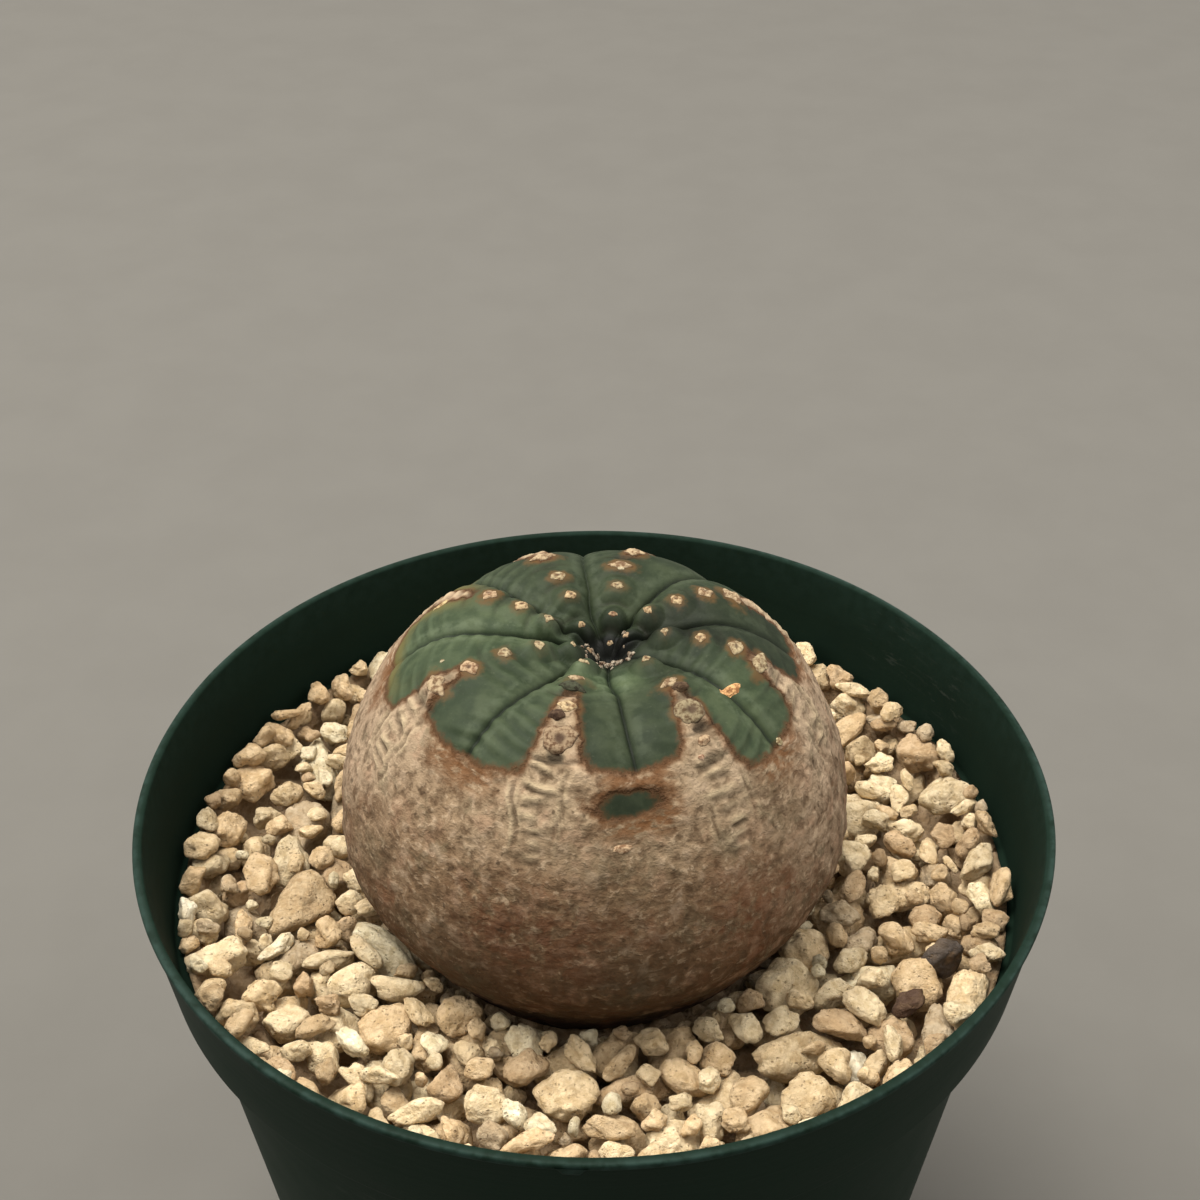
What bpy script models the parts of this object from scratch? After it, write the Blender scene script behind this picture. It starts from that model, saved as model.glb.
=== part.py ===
"""Potted baseball plant: a ribbed ball-shaped succulent in a round nursery pot, topped with pumice grains.

Lengths are in metres and +Z is up. The origin is the centre of the pot's base, on the surface it stands on.
"""
import math
import random

import bmesh
import bpy
from mathutils import Euler, Matrix, Vector

# Space left between pieces that touch, and the distance within which vertices merge
CLEARANCE = 0.0003
MERGE_DISTANCE = 0.00001

# Pot
POT_HEIGHT = 0.092
RIM_RADIUS = 0.054
BAND_HEIGHT = 0.0138
BAND_BOTTOM_RADIUS = 0.0521
LEDGE_RADIUS = 0.0497
LEDGE_DROP = 0.0010
BODY_TAPER = 0.119
WALL = 0.0011
EDGE = 0.0004
FOOT_HEIGHT = 0.0020
FOOT_WIDTH = 0.0026
BASE_FILLET = 0.0020
POT_STEPS = 64
DRAIN_HOLES = 6
DRAIN_RADIUS = 0.0035
DRAIN_RING_RADIUS = 0.028

# Stem: a ball whose upper half is sunk into a hollow crown
BELLY_RADIUS = 0.0299
UNDERSIDE_DEPTH = 0.0278
BELLY_HEIGHT = POT_HEIGHT - 0.0020
CROWN_RADIUS = 0.021
CROWN_DIP = 0.0090
TIP_OFFSET = Vector((0.0015, 0.0010))
CROWN_ANGLE = math.radians(45)
NECK_ANGLE = math.radians(150)
ROOT_LENGTH = 0.026
ROOT_TAPER = 1.6
CROWN_RINGS = 18
BELLY_RINGS = 13
ROOT_RINGS = 6
SEGMENTS_PER_RIB = 10

# Ribs: azimuths of the crests and of the furrow before each, then the first tubercle's distance from
# the growing tip and the spacing of those after it, counter-clockwise from the one nearest the front
RIBS = (
    {"furrow": -122, "crest": -103, "first": 0.0023, "spacing": 0.0053},
    {"furrow": -78, "crest": -52, "first": 0.0025, "spacing": 0.0046},
    {"furrow": -32, "crest": -10, "first": 0.0049, "spacing": 0.0037},
    {"furrow": 10, "crest": 32, "first": 0.0049, "spacing": 0.0037},
    {"furrow": 52, "crest": 75, "first": 0.0029, "spacing": 0.0040},
    {"furrow": 93, "crest": 112, "first": 0.0046, "spacing": 0.0043},
    {"furrow": 132, "crest": 148, "first": 0.0032, "spacing": 0.0040},
    {"furrow": 178, "crest": 204, "first": 0.0024, "spacing": 0.0042},
)
RIB_DEPTH = 0.0011
RIB_RISE_END = 0.008
RIB_FADE_START = 0.018
RIB_FADE_END = 0.040
TUBERCLE_HEIGHT = 0.0013
TUBERCLE_HALF_WIDTH = 0.0026
TUBERCLE_FADE_START = 0.018
TUBERCLE_FADE_END = 0.034

# Top dressing: a bed with grains standing out of it
BED_TOP = POT_HEIGHT - 0.0166
BED_BOTTOM = POT_HEIGHT - 0.0240
GRAIN_SPACING = 0.0066
GRAIN_HALF_SIZES = ((0.0039, 0.0046), (0.0033, 0.0039), (0.0026, 0.0032))
GRAIN_RISE = (0.0000, 0.0009)
LEDGE_GRAIN_RISE = 0.0013
GRAIN_ROUGHNESS = 0.12
GRAIN_TILT = 0.5
GRAIN_INNER_RADIUS = 0.0285
GRAIN_OUTER_RADIUS = 0.0490
GRAIN_ROWS = 4
GRAIN_SHIFT = 0.15
GRAIN_SEED = 11

# Steps of the turned solids that no one sees
HIDDEN_STEPS = 36


def body_radius(height):
    """Outer radius of the pot's tapered body at a height."""
    return LEDGE_RADIUS - BODY_TAPER * (POT_HEIGHT - BAND_HEIGHT - height)


def inner_wall():
    """The pot's inside, from the base up to the rim, as (radius, height) points."""
    ledge = POT_HEIGHT - BAND_HEIGHT
    floor = FOOT_HEIGHT + WALL
    return [
        (body_radius(floor) - WALL - BASE_FILLET, floor),
        (body_radius(floor + BASE_FILLET) - WALL, floor + BASE_FILLET),
        (body_radius(ledge) - WALL, ledge - LEDGE_DROP + EDGE),
        (BAND_BOTTOM_RADIUS - WALL, ledge + EDGE),
        (RIM_RADIUS - WALL, POT_HEIGHT - EDGE),
    ]


def outer_wall():
    """The pot's outside, from the rim down to the foot, as (radius, height) points."""
    ledge = POT_HEIGHT - BAND_HEIGHT
    return [
        (RIM_RADIUS - WALL + EDGE, POT_HEIGHT),
        (RIM_RADIUS - EDGE, POT_HEIGHT),
        (RIM_RADIUS, POT_HEIGHT - EDGE),
        (BAND_BOTTOM_RADIUS, ledge + EDGE),
        (BAND_BOTTOM_RADIUS - EDGE, ledge),
        (body_radius(ledge), ledge - LEDGE_DROP),
        (body_radius(EDGE), EDGE),
        (body_radius(0.0) - EDGE, 0.0),
        (body_radius(0.0) - FOOT_WIDTH, 0.0),
        (body_radius(0.0) - FOOT_WIDTH - EDGE, FOOT_HEIGHT),
    ]


def crown_dip(radius):
    """How far the crown lies below the full ball, deepest at the growing tip."""
    if radius >= CROWN_RADIUS:
        return 0.0
    share = radius / CROWN_RADIUS
    funnel = (1.0 - share) ** 1.2
    bowl = math.cos(0.5 * math.pi * share) ** 2
    return CROWN_DIP * 0.5 * (funnel + bowl)


def belly_point(angle):
    """A point of the ball's outline at an angle from straight up."""
    radius = BELLY_RADIUS * math.sin(angle)
    if angle < 0.5 * math.pi:
        return radius, BELLY_HEIGHT + BELLY_RADIUS * math.cos(angle) - crown_dip(radius)
    return radius, BELLY_HEIGHT + UNDERSIDE_DEPTH * math.cos(angle)


def root_point(share):
    """A point of the root's outline, from its neck (0) to its tip (1)."""
    neck_radius, neck_height = belly_point(NECK_ANGLE)
    return neck_radius * (1.0 - share) ** ROOT_TAPER, neck_height - ROOT_LENGTH * share


def stem_outline():
    """The whole plant's outline from the growing tip to the root's tip."""
    crown = [belly_point(CROWN_ANGLE * i / CROWN_RINGS) for i in range(CROWN_RINGS)]
    span = NECK_ANGLE - CROWN_ANGLE
    belly = [belly_point(CROWN_ANGLE + span * i / BELLY_RINGS) for i in range(BELLY_RINGS)]
    root = [root_point(i / ROOT_RINGS) for i in range(ROOT_RINGS + 1)]
    return crown + belly + root


def outline_normals(points):
    """The outward direction at each point of an outline that runs from top to bottom."""
    normals = []
    for i in range(len(points)):
        before = Vector(points[max(i - 1, 0)])
        after = Vector(points[min(i + 1, len(points) - 1)])
        along = (after - before).normalized()
        normals.append(Vector((-along.y, along.x)))
    return normals


def outline_distances(points):
    """The distance along an outline from its first point to each point."""
    distances = [0.0]
    for before, after in zip(points, points[1:]):
        distances.append(distances[-1] + (Vector(after) - Vector(before)).length)
    return distances


def smooth_step(low, high, value):
    """0 below low, 1 above high, with a smooth rise between them."""
    share = min(max((value - low) / (high - low), 0.0), 1.0)
    return share * share * (3.0 - 2.0 * share)


def rib_relief(across, distance):
    """How far the surface sinks from a rib's crest (across 0) to its furrow (across 1)."""
    rise = smooth_step(0.0, RIB_RISE_END, distance)
    fade = 1.0 - smooth_step(RIB_FADE_START, RIB_FADE_END, distance)
    return -RIB_DEPTH * rise * fade * abs(across) ** 3


def tubercle_relief(rib, sideways, distance):
    """How far a tubercle of a rib's crest stands out, at a distance sideways from the crest."""
    turns = (distance - rib["first"]) / rib["spacing"]
    from_middle = abs(turns - max(round(turns), 0))
    hump = 1.0 - (2.2 * from_middle) ** 2 - (sideways / TUBERCLE_HALF_WIDTH) ** 2
    fade = 1.0 - smooth_step(TUBERCLE_FADE_START, TUBERCLE_FADE_END, distance)
    growth = 0.5 + 0.5 * smooth_step(0.0, RIB_RISE_END, distance)
    return TUBERCLE_HEIGHT * growth * fade * math.sqrt(max(hump, 0.0))


def rib_place(segment):
    """A segment's rib, its place across the rib from -1 to 1, its azimuth and its angle from the crest."""
    index = segment // SEGMENTS_PER_RIB % len(RIBS)
    rib = RIBS[index]
    before = math.radians(rib["furrow"])
    crest = math.radians(rib["crest"])
    after = math.radians(RIBS[(index + 1) % len(RIBS)]["furrow"])
    if after < before:
        after += 2.0 * math.pi
    across = 2.0 * (segment % SEGMENTS_PER_RIB) / SEGMENTS_PER_RIB - 1.0
    turn = across * (after - crest if across > 0.0 else crest - before)
    return rib, across, crest + turn, turn


def material(name, color, roughness):
    """A Principled material of one colour."""
    result = bpy.data.materials.new(name)
    result.use_nodes = True
    shader = result.node_tree.nodes["Principled BSDF"]
    shader.inputs["Base Color"].default_value = (*color, 1.0)
    shader.inputs["Roughness"].default_value = roughness
    shader.inputs["Metallic"].default_value = 0.0
    return result


def add_object(name, mesh, collection, finish=None):
    """A named object with its mesh and material in a collection."""
    result = bpy.data.objects.new(name, mesh)
    collection.objects.link(result)
    if finish:
        mesh.materials.append(finish)
    return result


def mesh_from(bm, name):
    """A mesh with a bmesh's geometry, which is then freed."""
    mesh = bpy.data.meshes.new(name)
    bm.to_mesh(mesh)
    bm.free()
    return mesh


def turned(name, points, steps, collection, finish=None, closed=False):
    """A solid turned about Z from an outline that runs down its outer side."""
    edges = [(i, i + 1) for i in range(len(points) - 1)]
    if closed:
        edges.append((len(points) - 1, 0))
    mesh = bpy.data.meshes.new(name)
    mesh.from_pydata([(radius, 0.0, height) for radius, height in points], edges, [])
    result = add_object(name, mesh, collection, finish)
    screw = result.modifiers.new("Turn", "SCREW")
    screw.axis = "Z"
    screw.angle = 2.0 * math.pi
    screw.steps = steps
    screw.render_steps = steps
    screw.use_merge_vertices = True
    screw.merge_threshold = MERGE_DISTANCE
    return result


def apply_modifiers(subject):
    """Replace an object's mesh with the one its modifiers make."""
    graph = bpy.context.evaluated_depsgraph_get()
    mesh = bpy.data.meshes.new_from_object(subject.evaluated_get(graph))
    subject.modifiers.clear()
    subject.data = mesh


def cut(subject, cutter):
    """Cut a solid away from another."""
    boolean = subject.modifiers.new("Cut " + cutter.name, "BOOLEAN")
    boolean.operation = "DIFFERENCE"
    boolean.solver = "EXACT"
    boolean.object = cutter


def hide_cutter(cutter):
    """Show a cutter as wire and keep it out of renders."""
    cutter.hide_render = True
    cutter.display_type = "WIRE"


def drain_cutter(index, collection):
    """A peg through the pot's base, for one drain hole."""
    bm = bmesh.new()
    bmesh.ops.create_cone(
        bm, cap_ends=True, segments=16, radius1=DRAIN_RADIUS, radius2=DRAIN_RADIUS, depth=4.0 * WALL
    )
    cutter = add_object(f"drain_{index}", mesh_from(bm, f"drain_{index}"), collection)
    angle = 2.0 * math.pi * (index + 0.5) / DRAIN_HOLES
    cutter.location = (
        DRAIN_RING_RADIUS * math.cos(angle),
        DRAIN_RING_RADIUS * math.sin(angle),
        FOOT_HEIGHT + 0.5 * WALL,
    )
    hide_cutter(cutter)
    return cutter


def make_pot(parts, cutters):
    """The moulded pot: a shell with a band under its rim, a raised base and drain holes."""
    finish = material("pot", (0.010, 0.022, 0.014), 0.42)
    points = [(0.0, FOOT_HEIGHT + WALL), *inner_wall(), *outer_wall(), (0.0, FOOT_HEIGHT)]
    pot = turned("pot", points, POT_STEPS, parts, finish)
    for index in range(DRAIN_HOLES):
        cut(pot, drain_cutter(index, cutters))
    return pot


def make_plant_room(cutters):
    """The space that the plant stands in, a clearance wider than the plant."""
    points = stem_outline()
    normals = outline_normals(points)
    wider = [tuple(Vector(point) + CLEARANCE * normal) for point, normal in zip(points, normals)]
    top = (0.0, wider[0][1])
    tip = (0.0, points[-1][1] - CLEARANCE)
    room = turned("plant_room", [top, *wider[1:-1], tip], HIDDEN_STEPS, cutters)
    hide_cutter(room)
    return room


def make_wall_room(cutters):
    """The pot's wall and a clearance inside it, as a ring around the filling."""
    inside = [(radius - CLEARANCE, height + CLEARANCE) for radius, height in reversed(inner_wall())]
    outside = 2.0 * RIM_RADIUS
    points = [(outside, POT_HEIGHT), (outside, 0.0), (inside[-1][0], 0.0), *reversed(inside)]
    points.append((inside[0][0], POT_HEIGHT))
    ring = turned("wall_room", points, POT_STEPS, cutters, closed=True)
    hide_cutter(ring)
    return ring


def make_potting_mix(parts, plant_room):
    """The growing medium below the top dressing, with a plain hole for the plant's root."""
    finish = material("potting_mix", (0.09, 0.065, 0.045), 0.95)
    wall = [point for point in inner_wall() if point[1] < BED_BOTTOM]
    top = BED_BOTTOM - CLEARANCE
    shoulder = (body_radius(top) - WALL - CLEARANCE, top)
    side = [(radius - CLEARANCE, height + CLEARANCE) for radius, height in reversed(wall)]
    points = [(0.0, top), shoulder, *side, (0.0, side[-1][1])]
    mix = turned("potting_mix", points, HIDDEN_STEPS, parts, finish)
    cut(mix, plant_room)
    return mix


def grain_places(draw):
    """Places of the grains, in uneven rows round the plant. The last row stands on the pot's ledge."""
    places = []
    for row in range(GRAIN_ROWS):
        share = row / (GRAIN_ROWS - 1)
        row_radius = GRAIN_INNER_RADIUS + share * (GRAIN_OUTER_RADIUS - GRAIN_INNER_RADIUS)
        count = round(2.0 * math.pi * row_radius / GRAIN_SPACING)
        start = draw.random()
        for index in range(count):
            angle = 2.0 * math.pi * (index + start + draw.uniform(-GRAIN_SHIFT, GRAIN_SHIFT)) / count
            radius = row_radius - draw.uniform(0.0, GRAIN_SHIFT) * GRAIN_SPACING
            rise = draw.uniform(*GRAIN_RISE) + (LEDGE_GRAIN_RISE if row == GRAIN_ROWS - 1 else 0.0)
            places.append(Vector((radius * math.cos(angle), radius * math.sin(angle), BED_TOP + rise)))
    return places


def make_grain(index, place, draw, collection):
    """One angular grain: a coarse ball, uneven, flattened and turned at random."""
    bm = bmesh.new()
    bmesh.ops.create_icosphere(bm, subdivisions=1, radius=1.0)
    for vertex in bm.verts:
        vertex.co *= 1.0 + draw.uniform(-GRAIN_ROUGHNESS, GRAIN_ROUGHNESS)
    half_sizes = [draw.uniform(*span) for span in GRAIN_HALF_SIZES]
    tilt = Euler((draw.uniform(-GRAIN_TILT, GRAIN_TILT), draw.uniform(-GRAIN_TILT, GRAIN_TILT), 0.0))
    turn = Matrix.Rotation(draw.uniform(0.0, 2.0 * math.pi), 4, "Z") @ tilt.to_matrix().to_4x4()
    bm.transform(Matrix.Translation(place) @ turn @ Matrix.Diagonal((*half_sizes, 1.0)))
    return add_object(f"grain_{index}", mesh_from(bm, f"grain_{index}"), collection)


def fuse_grains(bed):
    """Join all the grains to their bed in one Boolean union, and remove the loose ones."""
    grains = bpy.data.collections.new("grains")
    bpy.context.scene.collection.children.link(grains)
    draw = random.Random(GRAIN_SEED)
    for index, place in enumerate(grain_places(draw)):
        make_grain(index, place, draw, grains)
    union = bed.modifiers.new("Fuse grains", "BOOLEAN")
    union.operation = "UNION"
    union.solver = "EXACT"
    union.operand_type = "COLLECTION"
    union.collection = grains
    apply_modifiers(bed)
    for grain in list(grains.objects):
        bpy.data.objects.remove(grain)
    bpy.data.collections.remove(grains)


def make_gravel(parts, plant_room, wall_room):
    """The top dressing: a bed of pumice with its grains fused on, open round the plant."""
    finish = material("gravel", (0.62, 0.48, 0.32), 0.9)
    depth = BED_TOP - BED_BOTTOM
    bm = bmesh.new()
    bmesh.ops.create_cone(
        bm, cap_ends=True, segments=HIDDEN_STEPS, radius1=RIM_RADIUS, radius2=RIM_RADIUS, depth=depth
    )
    bm.transform(Matrix.Translation((0.0, 0.0, BED_BOTTOM + 0.5 * depth)))
    gravel = add_object("gravel", mesh_from(bm, "gravel"), parts, finish)
    fuse_grains(gravel)
    cut(gravel, wall_room)
    cut(gravel, plant_room)
    return gravel


def make_plant(parts):
    """The ribbed stem and its root, as one ball whose rings follow the plant's outline."""
    points = stem_outline()
    normals = outline_normals(points)
    distances = outline_distances(points)
    rings = len(points) - 1
    segments = SEGMENTS_PER_RIB * len(RIBS)
    bm = bmesh.new()
    bmesh.ops.create_uvsphere(bm, u_segments=segments, v_segments=rings, radius=1.0)
    for vertex in bm.verts:
        ring = round(math.acos(max(-1.0, min(1.0, vertex.co.z))) / math.pi * rings)
        segment = round(math.atan2(vertex.co.y, vertex.co.x) / (2.0 * math.pi) * segments) % segments
        rib, across, azimuth, turn = rib_place(segment)
        distance = distances[ring]
        relief = 0.0
        if 0 < ring < rings:
            sideways = points[ring][0] * turn
            relief = rib_relief(across, distance) + tubercle_relief(rib, sideways, distance)
        radius, height = Vector(points[ring]) + relief * normals[ring]
        lean = TIP_OFFSET * (1.0 - smooth_step(0.0, CROWN_RADIUS, distance))
        vertex.co = (radius * math.cos(azimuth) + lean.x, radius * math.sin(azimuth) + lean.y, height)
    plant = add_object("plant", mesh_from(bm, "plant"), parts, material("plant", (0.16, 0.15, 0.10), 0.6))
    plant.data.shade_smooth()
    return plant


def main():
    for old in list(bpy.data.objects):
        bpy.data.objects.remove(old)
    parts = bpy.data.collections.new("potted_baseball_plant")
    cutters = bpy.data.collections.new("cutters")
    bpy.context.scene.collection.children.link(parts)
    bpy.context.scene.collection.children.link(cutters)
    plant_room = make_plant_room(cutters)
    wall_room = make_wall_room(cutters)
    make_pot(parts, cutters)
    make_potting_mix(parts, plant_room)
    make_gravel(parts, plant_room, wall_room)
    make_plant(parts)


main()
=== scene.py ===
"""Potted baseball plant: the finished look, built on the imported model's frame.

Lengths are in metres and +Z is up. A place on the stem's skin is a distance from the growing tip, along the
skin, and an azimuth in degrees, counter-clockwise from +X. The camera stands at azimuth -90.
"""
import math

import bmesh
import bpy
import numpy as np
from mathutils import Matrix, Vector


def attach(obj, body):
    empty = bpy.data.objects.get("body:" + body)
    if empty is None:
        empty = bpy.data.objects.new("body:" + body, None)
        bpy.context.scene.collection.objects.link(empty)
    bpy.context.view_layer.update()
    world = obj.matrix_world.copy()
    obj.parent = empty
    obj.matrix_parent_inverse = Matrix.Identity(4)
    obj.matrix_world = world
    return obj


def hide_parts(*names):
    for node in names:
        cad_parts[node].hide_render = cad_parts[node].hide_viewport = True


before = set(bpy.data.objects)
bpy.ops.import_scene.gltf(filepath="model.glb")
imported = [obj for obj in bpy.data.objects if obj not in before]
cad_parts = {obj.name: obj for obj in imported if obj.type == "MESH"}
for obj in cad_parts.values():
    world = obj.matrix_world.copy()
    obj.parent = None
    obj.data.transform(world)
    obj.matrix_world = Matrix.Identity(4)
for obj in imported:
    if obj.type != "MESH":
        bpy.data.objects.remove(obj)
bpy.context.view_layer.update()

MILLIMETRE = 0.001
FULL_TURN = 2.0 * math.pi
LAYERED_REACH = 1.0 + 0.5 + 0.25

# Pot, with the same wall lines as its node
POT_HEIGHT = 0.092
RIM_RADIUS = 0.054
BAND_HEIGHT = 0.0138
BAND_BOTTOM_RADIUS = 0.0521
BAND_SLOPE = (RIM_RADIUS - BAND_BOTTOM_RADIUS) / BAND_HEIGHT
LEDGE_RADIUS = 0.0497
LEDGE_DROP = 0.0010
BODY_TAPER = 0.119
WALL = 0.0011
FOOT_HEIGHT = 0.0020
FOOT_WIDTH = 0.0026
BASE_FILLET = 0.0020
EDGE_ROUNDING = 0.0004
BEAD_DEPTH = 0.0008
BEAD_STAND = 0.00025
POT_SEGMENTS = 240
POT_STEP = 0.009
POT_POLE_RING = 0.004
POT_WAVE = 0.00012
TAB_AZIMUTH = -92.2
TAB_TOP_WIDTH = 0.0040
TAB_BOTTOM_WIDTH = 0.0019
TAB_HEIGHT = 0.0012
TAB_STAND = 0.00012
TAB_SUNK_EDGE = -0.0003
TAB_STEPS = 13
DRAIN_HOLES = 6
DRAIN_RADIUS = 0.0035
DRAIN_RING_RADIUS = 0.028

# Stem, with the same outline as its node
BELLY_RADIUS = 0.0299
UNDERSIDE_DEPTH = 0.0278
BELLY_HEIGHT = POT_HEIGHT - 0.0020
CROWN_RADIUS = 0.021
CROWN_DIP = 0.0090
TIP_OFFSET = (0.0015, 0.0010)
NECK_ANGLE = math.radians(150)
UNDERSIDE_TAPER = 0.0025
ROOT_LENGTH = 0.026
ROOT_TAPER = 1.6
OUTLINE_STEPS = 1500
TIP_PIT_DEPTH = 0.0014
TIP_PIT_REACH = 0.0024

# Rings of the stem's mesh: close on the crown, wider on the belly, wide on the hidden root
STEM_SEGMENTS = 560
CROWN_END = 0.024
SIGHT_END = 0.058
CROWN_RINGS = 85
BELLY_RINGS = 76
ROOT_RINGS = 10

# Ribs, counter-clockwise. "furrow" is the azimuth of the furrow before the rib at each of FURROW_LEVELS,
# "green" how far down the green skin reaches in that furrow, and "tone" how light that lobe is. "bare" is
# where cork begins on the crest. "tubercles" has each one's distance and azimuth, with its scar's form.
FURROW_LEVELS = (0.006, 0.010, 0.020)
RIBS = (
    {
        "furrow": (-131, -130, -130), "green": 0.0229, "tone": 0.86, "bare": 0.0110,
        "tubercles": (
            (0.0059, -116, "star"), (0.0091, -109, "wide"), (0.0138, -104, "star"), (0.0178, -102, "ring"),
        ),
    },
    {
        "furrow": (-86, -79, -77), "green": 0.0214, "tone": 0.65, "bare": 0.0132,
        "tubercles": (
            (0.0073, -45, "star"), (0.0122, -49, "wide"), (0.0167, -52, "ring"), (0.0204, -54, "spot"),
        ),
    },
    {
        "furrow": (-25, -28, -31), "green": 0.0258, "tone": 1.08, "bare": 0.0176,
        "tubercles": (
            (0.0075, 4, "star"), (0.0118, -4, "star"), (0.0162, -8, "star"), (0.0194, -11, "wide"),
        ),
    },
    {
        "furrow": (20, 15, 11), "green": 0.0262, "tone": 0.50, "bare": 0.0186,
        "tubercles": (
            (0.0031, 33, "star"), (0.0073, 41, "star"), (0.0112, 35, "star"), (0.0152, 32, "star"),
            (0.0185, 28, "wide"),
        ),
    },
    {
        "furrow": (56, 54, 49), "green": 0.0266, "tone": 0.70, "bare": 0.0170,
        "tubercles": (
            (0.0019, 78, "star"), (0.0049, 78, "star"), (0.0097, 78, "star"), (0.0139, 78, "wide"),
            (0.0178, 74, "star"),
        ),
    },
    {
        "furrow": (105, 98, 94), "green": 0.0270, "tone": 0.66, "bare": 0.0160,
        "tubercles": (
            (0.0022, 188, "star"), (0.0042, 137, "star"), (0.0086, 117, "star"), (0.0122, 114, "star"),
            (0.0169, 112, "wide"),
        ),
    },
    {
        "furrow": (150, 142, 136), "green": 0.0252, "tone": 0.70, "bare": 0.0170,
        "tubercles": (
            (0.0044, 199, "star"), (0.0074, 154, "star"), (0.0109, 150, "star"), (0.0149, 149, "star"),
        ),
    },
    {
        "furrow": (171, 173, 174), "green": 0.0264, "tone": 1.14, "bare": 0.0166,
        "tubercles": (
            (0.0080, 196, "star"), (0.0116, 199, "star"), (0.0155, 204, "star"), (0.0192, 203, "wide"),
        ),
    },
)
RIB_DEPTH = 0.0009
RIB_RISE_END = 0.008
RIB_FADE_START = 0.018
RIB_FADE_END = 0.040

# Green lobes, the bare strip of cork on each crest, and the green patch left below the front furrow
LOBE_SHOULDER = 0.0012
LOBE_BLEND = 0.0017
BARE_HALF_WIDTH = 0.0007
BARE_SPREAD = 0.24
PATCH_AZIMUTH = -80.5
PATCH_DISTANCE = 0.0247
PATCH_HALF_WIDTH = 0.0039
PATCH_HALF_LENGTH = 0.0015
PATCH_DEPTH = 0.0021

# Relief of the skin
CREASE_WIDTH = 0.00025
CREASE_DEPTH = 0.00026
FOLD_WIDTH = 0.00026
FOLD_DEPTH = 0.00030
PIT_DEPTH = 0.00042
BAND_SPACING = 0.0019
BAND_DEPTH = 0.00012
LUMP_HEIGHT = 0.00024
CORK_STAND = 0.00012
SCALE_HEIGHT = 0.00022
FIBRE_HEIGHT = 0.00015
BLOTCH_HEIGHT = 0.00016
RIDGE_HEIGHT = 0.00032
CRACK_DEPTH = 0.00038

# The forms of scar: shares of its size across and along the rib, the power of its outline, which is 2 for a
# circle and less for a star, how hollow it is, how deep the pit below it is, and how light its wood
SCAR_FORMS = {
    "star": {"across": 1.0, "along": 0.76, "point": 1.20, "hollow": 0.50, "pit": 0.25, "light": 1.0},
    "wide": {"across": 1.35, "along": 0.72, "point": 1.15, "hollow": 0.25, "pit": 0.70, "light": 0.92},
    "ring": {"across": 1.35, "along": 1.20, "point": 1.70, "hollow": 0.75, "pit": 1.00, "light": 0.66},
    "spot": {"across": 0.50, "along": 0.42, "point": 1.50, "hollow": 0.00, "pit": 0.60, "light": 0.9},
}
SCAR_TINTS = ((0.84, 0.82, 0.69), (0.87, 0.80, 0.67), (0.79, 0.82, 0.67), (0.92, 0.89, 0.70))

SCAR_HALF = 0.00032
SCAR_GROWTH = 0.060
SCAR_THICKNESS = 0.00012
SCAR_SWELL = 0.16
SCAR_SINK = 0.00002

# Small dry marks and the stubs of old flower stalks: distance and azimuth, half sizes sideways, along and
# outwards, turn in degrees, and tint
SKIN_MARKS = (
    (0.0175, -28.6, (0.0014, 0.00062, 0.00016), 38, (1.30, 0.98, 0.60)),
    (0.0292, -83.2, (0.0010, 0.00045, 0.00022), 0, (1.0, 0.92, 0.78)),
    (0.0206, 154.0, (0.0011, 0.00030, 0.00014), 30, (1.10, 1.10, 0.80)),
    (0.0132, 78.0, (0.0004, 0.00030, 0.00014), 0, (0.95, 1.05, 0.95)),
    (0.0258, -28.8, (0.0004, 0.00045, 0.00014), 0, (0.95, 1.05, 0.85)),
    (0.0178, -168.0, (0.0003, 0.00025, 0.00014), 0, (0.95, 1.10, 1.00)),
    (0.0152, -106.0, (0.00085, 0.00060, 0.00050), 0, (0.17, 0.13, 0.10)),
    (0.0136, -47.0, (0.00105, 0.00062, 0.00055), 15, (0.19, 0.15, 0.11)),
    (0.0104, -108.0, (0.00150, 0.00050, 0.00035), 0, (0.10, 0.14, 0.11)),
    (0.0218, -57.0, (0.00040, 0.00030, 0.00020), 0, (1.05, 0.95, 0.90)),
)
TIP_CRUMBS = 40
TIP_CRUMB_REACH = 0.0034
PALE_CRUMB = (0.74, 0.82, 0.86)
DARK_CRUMB = (0.26, 0.21, 0.18)

# Points on each small shape
SCAR_POINTS = 400
MARK_POINTS = 320
CRUMB_POINTS = 140
GRIT_POINTS = 130
FINE_GRAIN_POINTS = 540
MIDDLE_GRAIN_POINTS = 350
PLAIN_GRAIN_POINTS = 130

# Gravel bed, the shelf inside the pot that it lies beside, and the space that grains may fill
BED_FLOOR = 0.0683
BED_TOP = 0.0720
BED_WALL_RISE = 0.0026
BED_RISE_RADII = (0.040, 0.0475)
BED_LUMP_HEIGHT = 0.0008
BED_LUMP_SIZE = 0.0042
BED_SINK = 0.0012
BED_REACH = 0.0481
BED_SEGMENTS = 320
BED_RINGS = 56
BED_SHELF_RADII = (0.0485, 0.0490, 0.0496, 0.0502)
# The bed is a darker tan than the grains, as painted shade in the gaps between them
BED_TINT = (0.44, 0.325, 0.21)
PEBBLE_SIZE = 0.0024
PEBBLE_HEIGHT = 0.0024
SHELF_BED_STAND = 0.0004
SHELF_PEBBLE_HEIGHT = 0.0006
SHELF_RADIUS = 0.0486
SHELF_HEIGHT = 0.0776
SHELF_SLOPE = 0.42
GRAVEL_TOP = 0.0797
GRAVEL_WALL_RISE = 0.0030
GRAVEL_RISE_RADII = (0.043, 0.050)
WALL_REACH = 0.0509
STEM_REACH = 0.0185
STEM_SIDE_GAP = 0.0004
STEM_UNDER_GAP = 0.0002
MAP_CELL = 0.0005
MAP_HALF = 112

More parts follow.
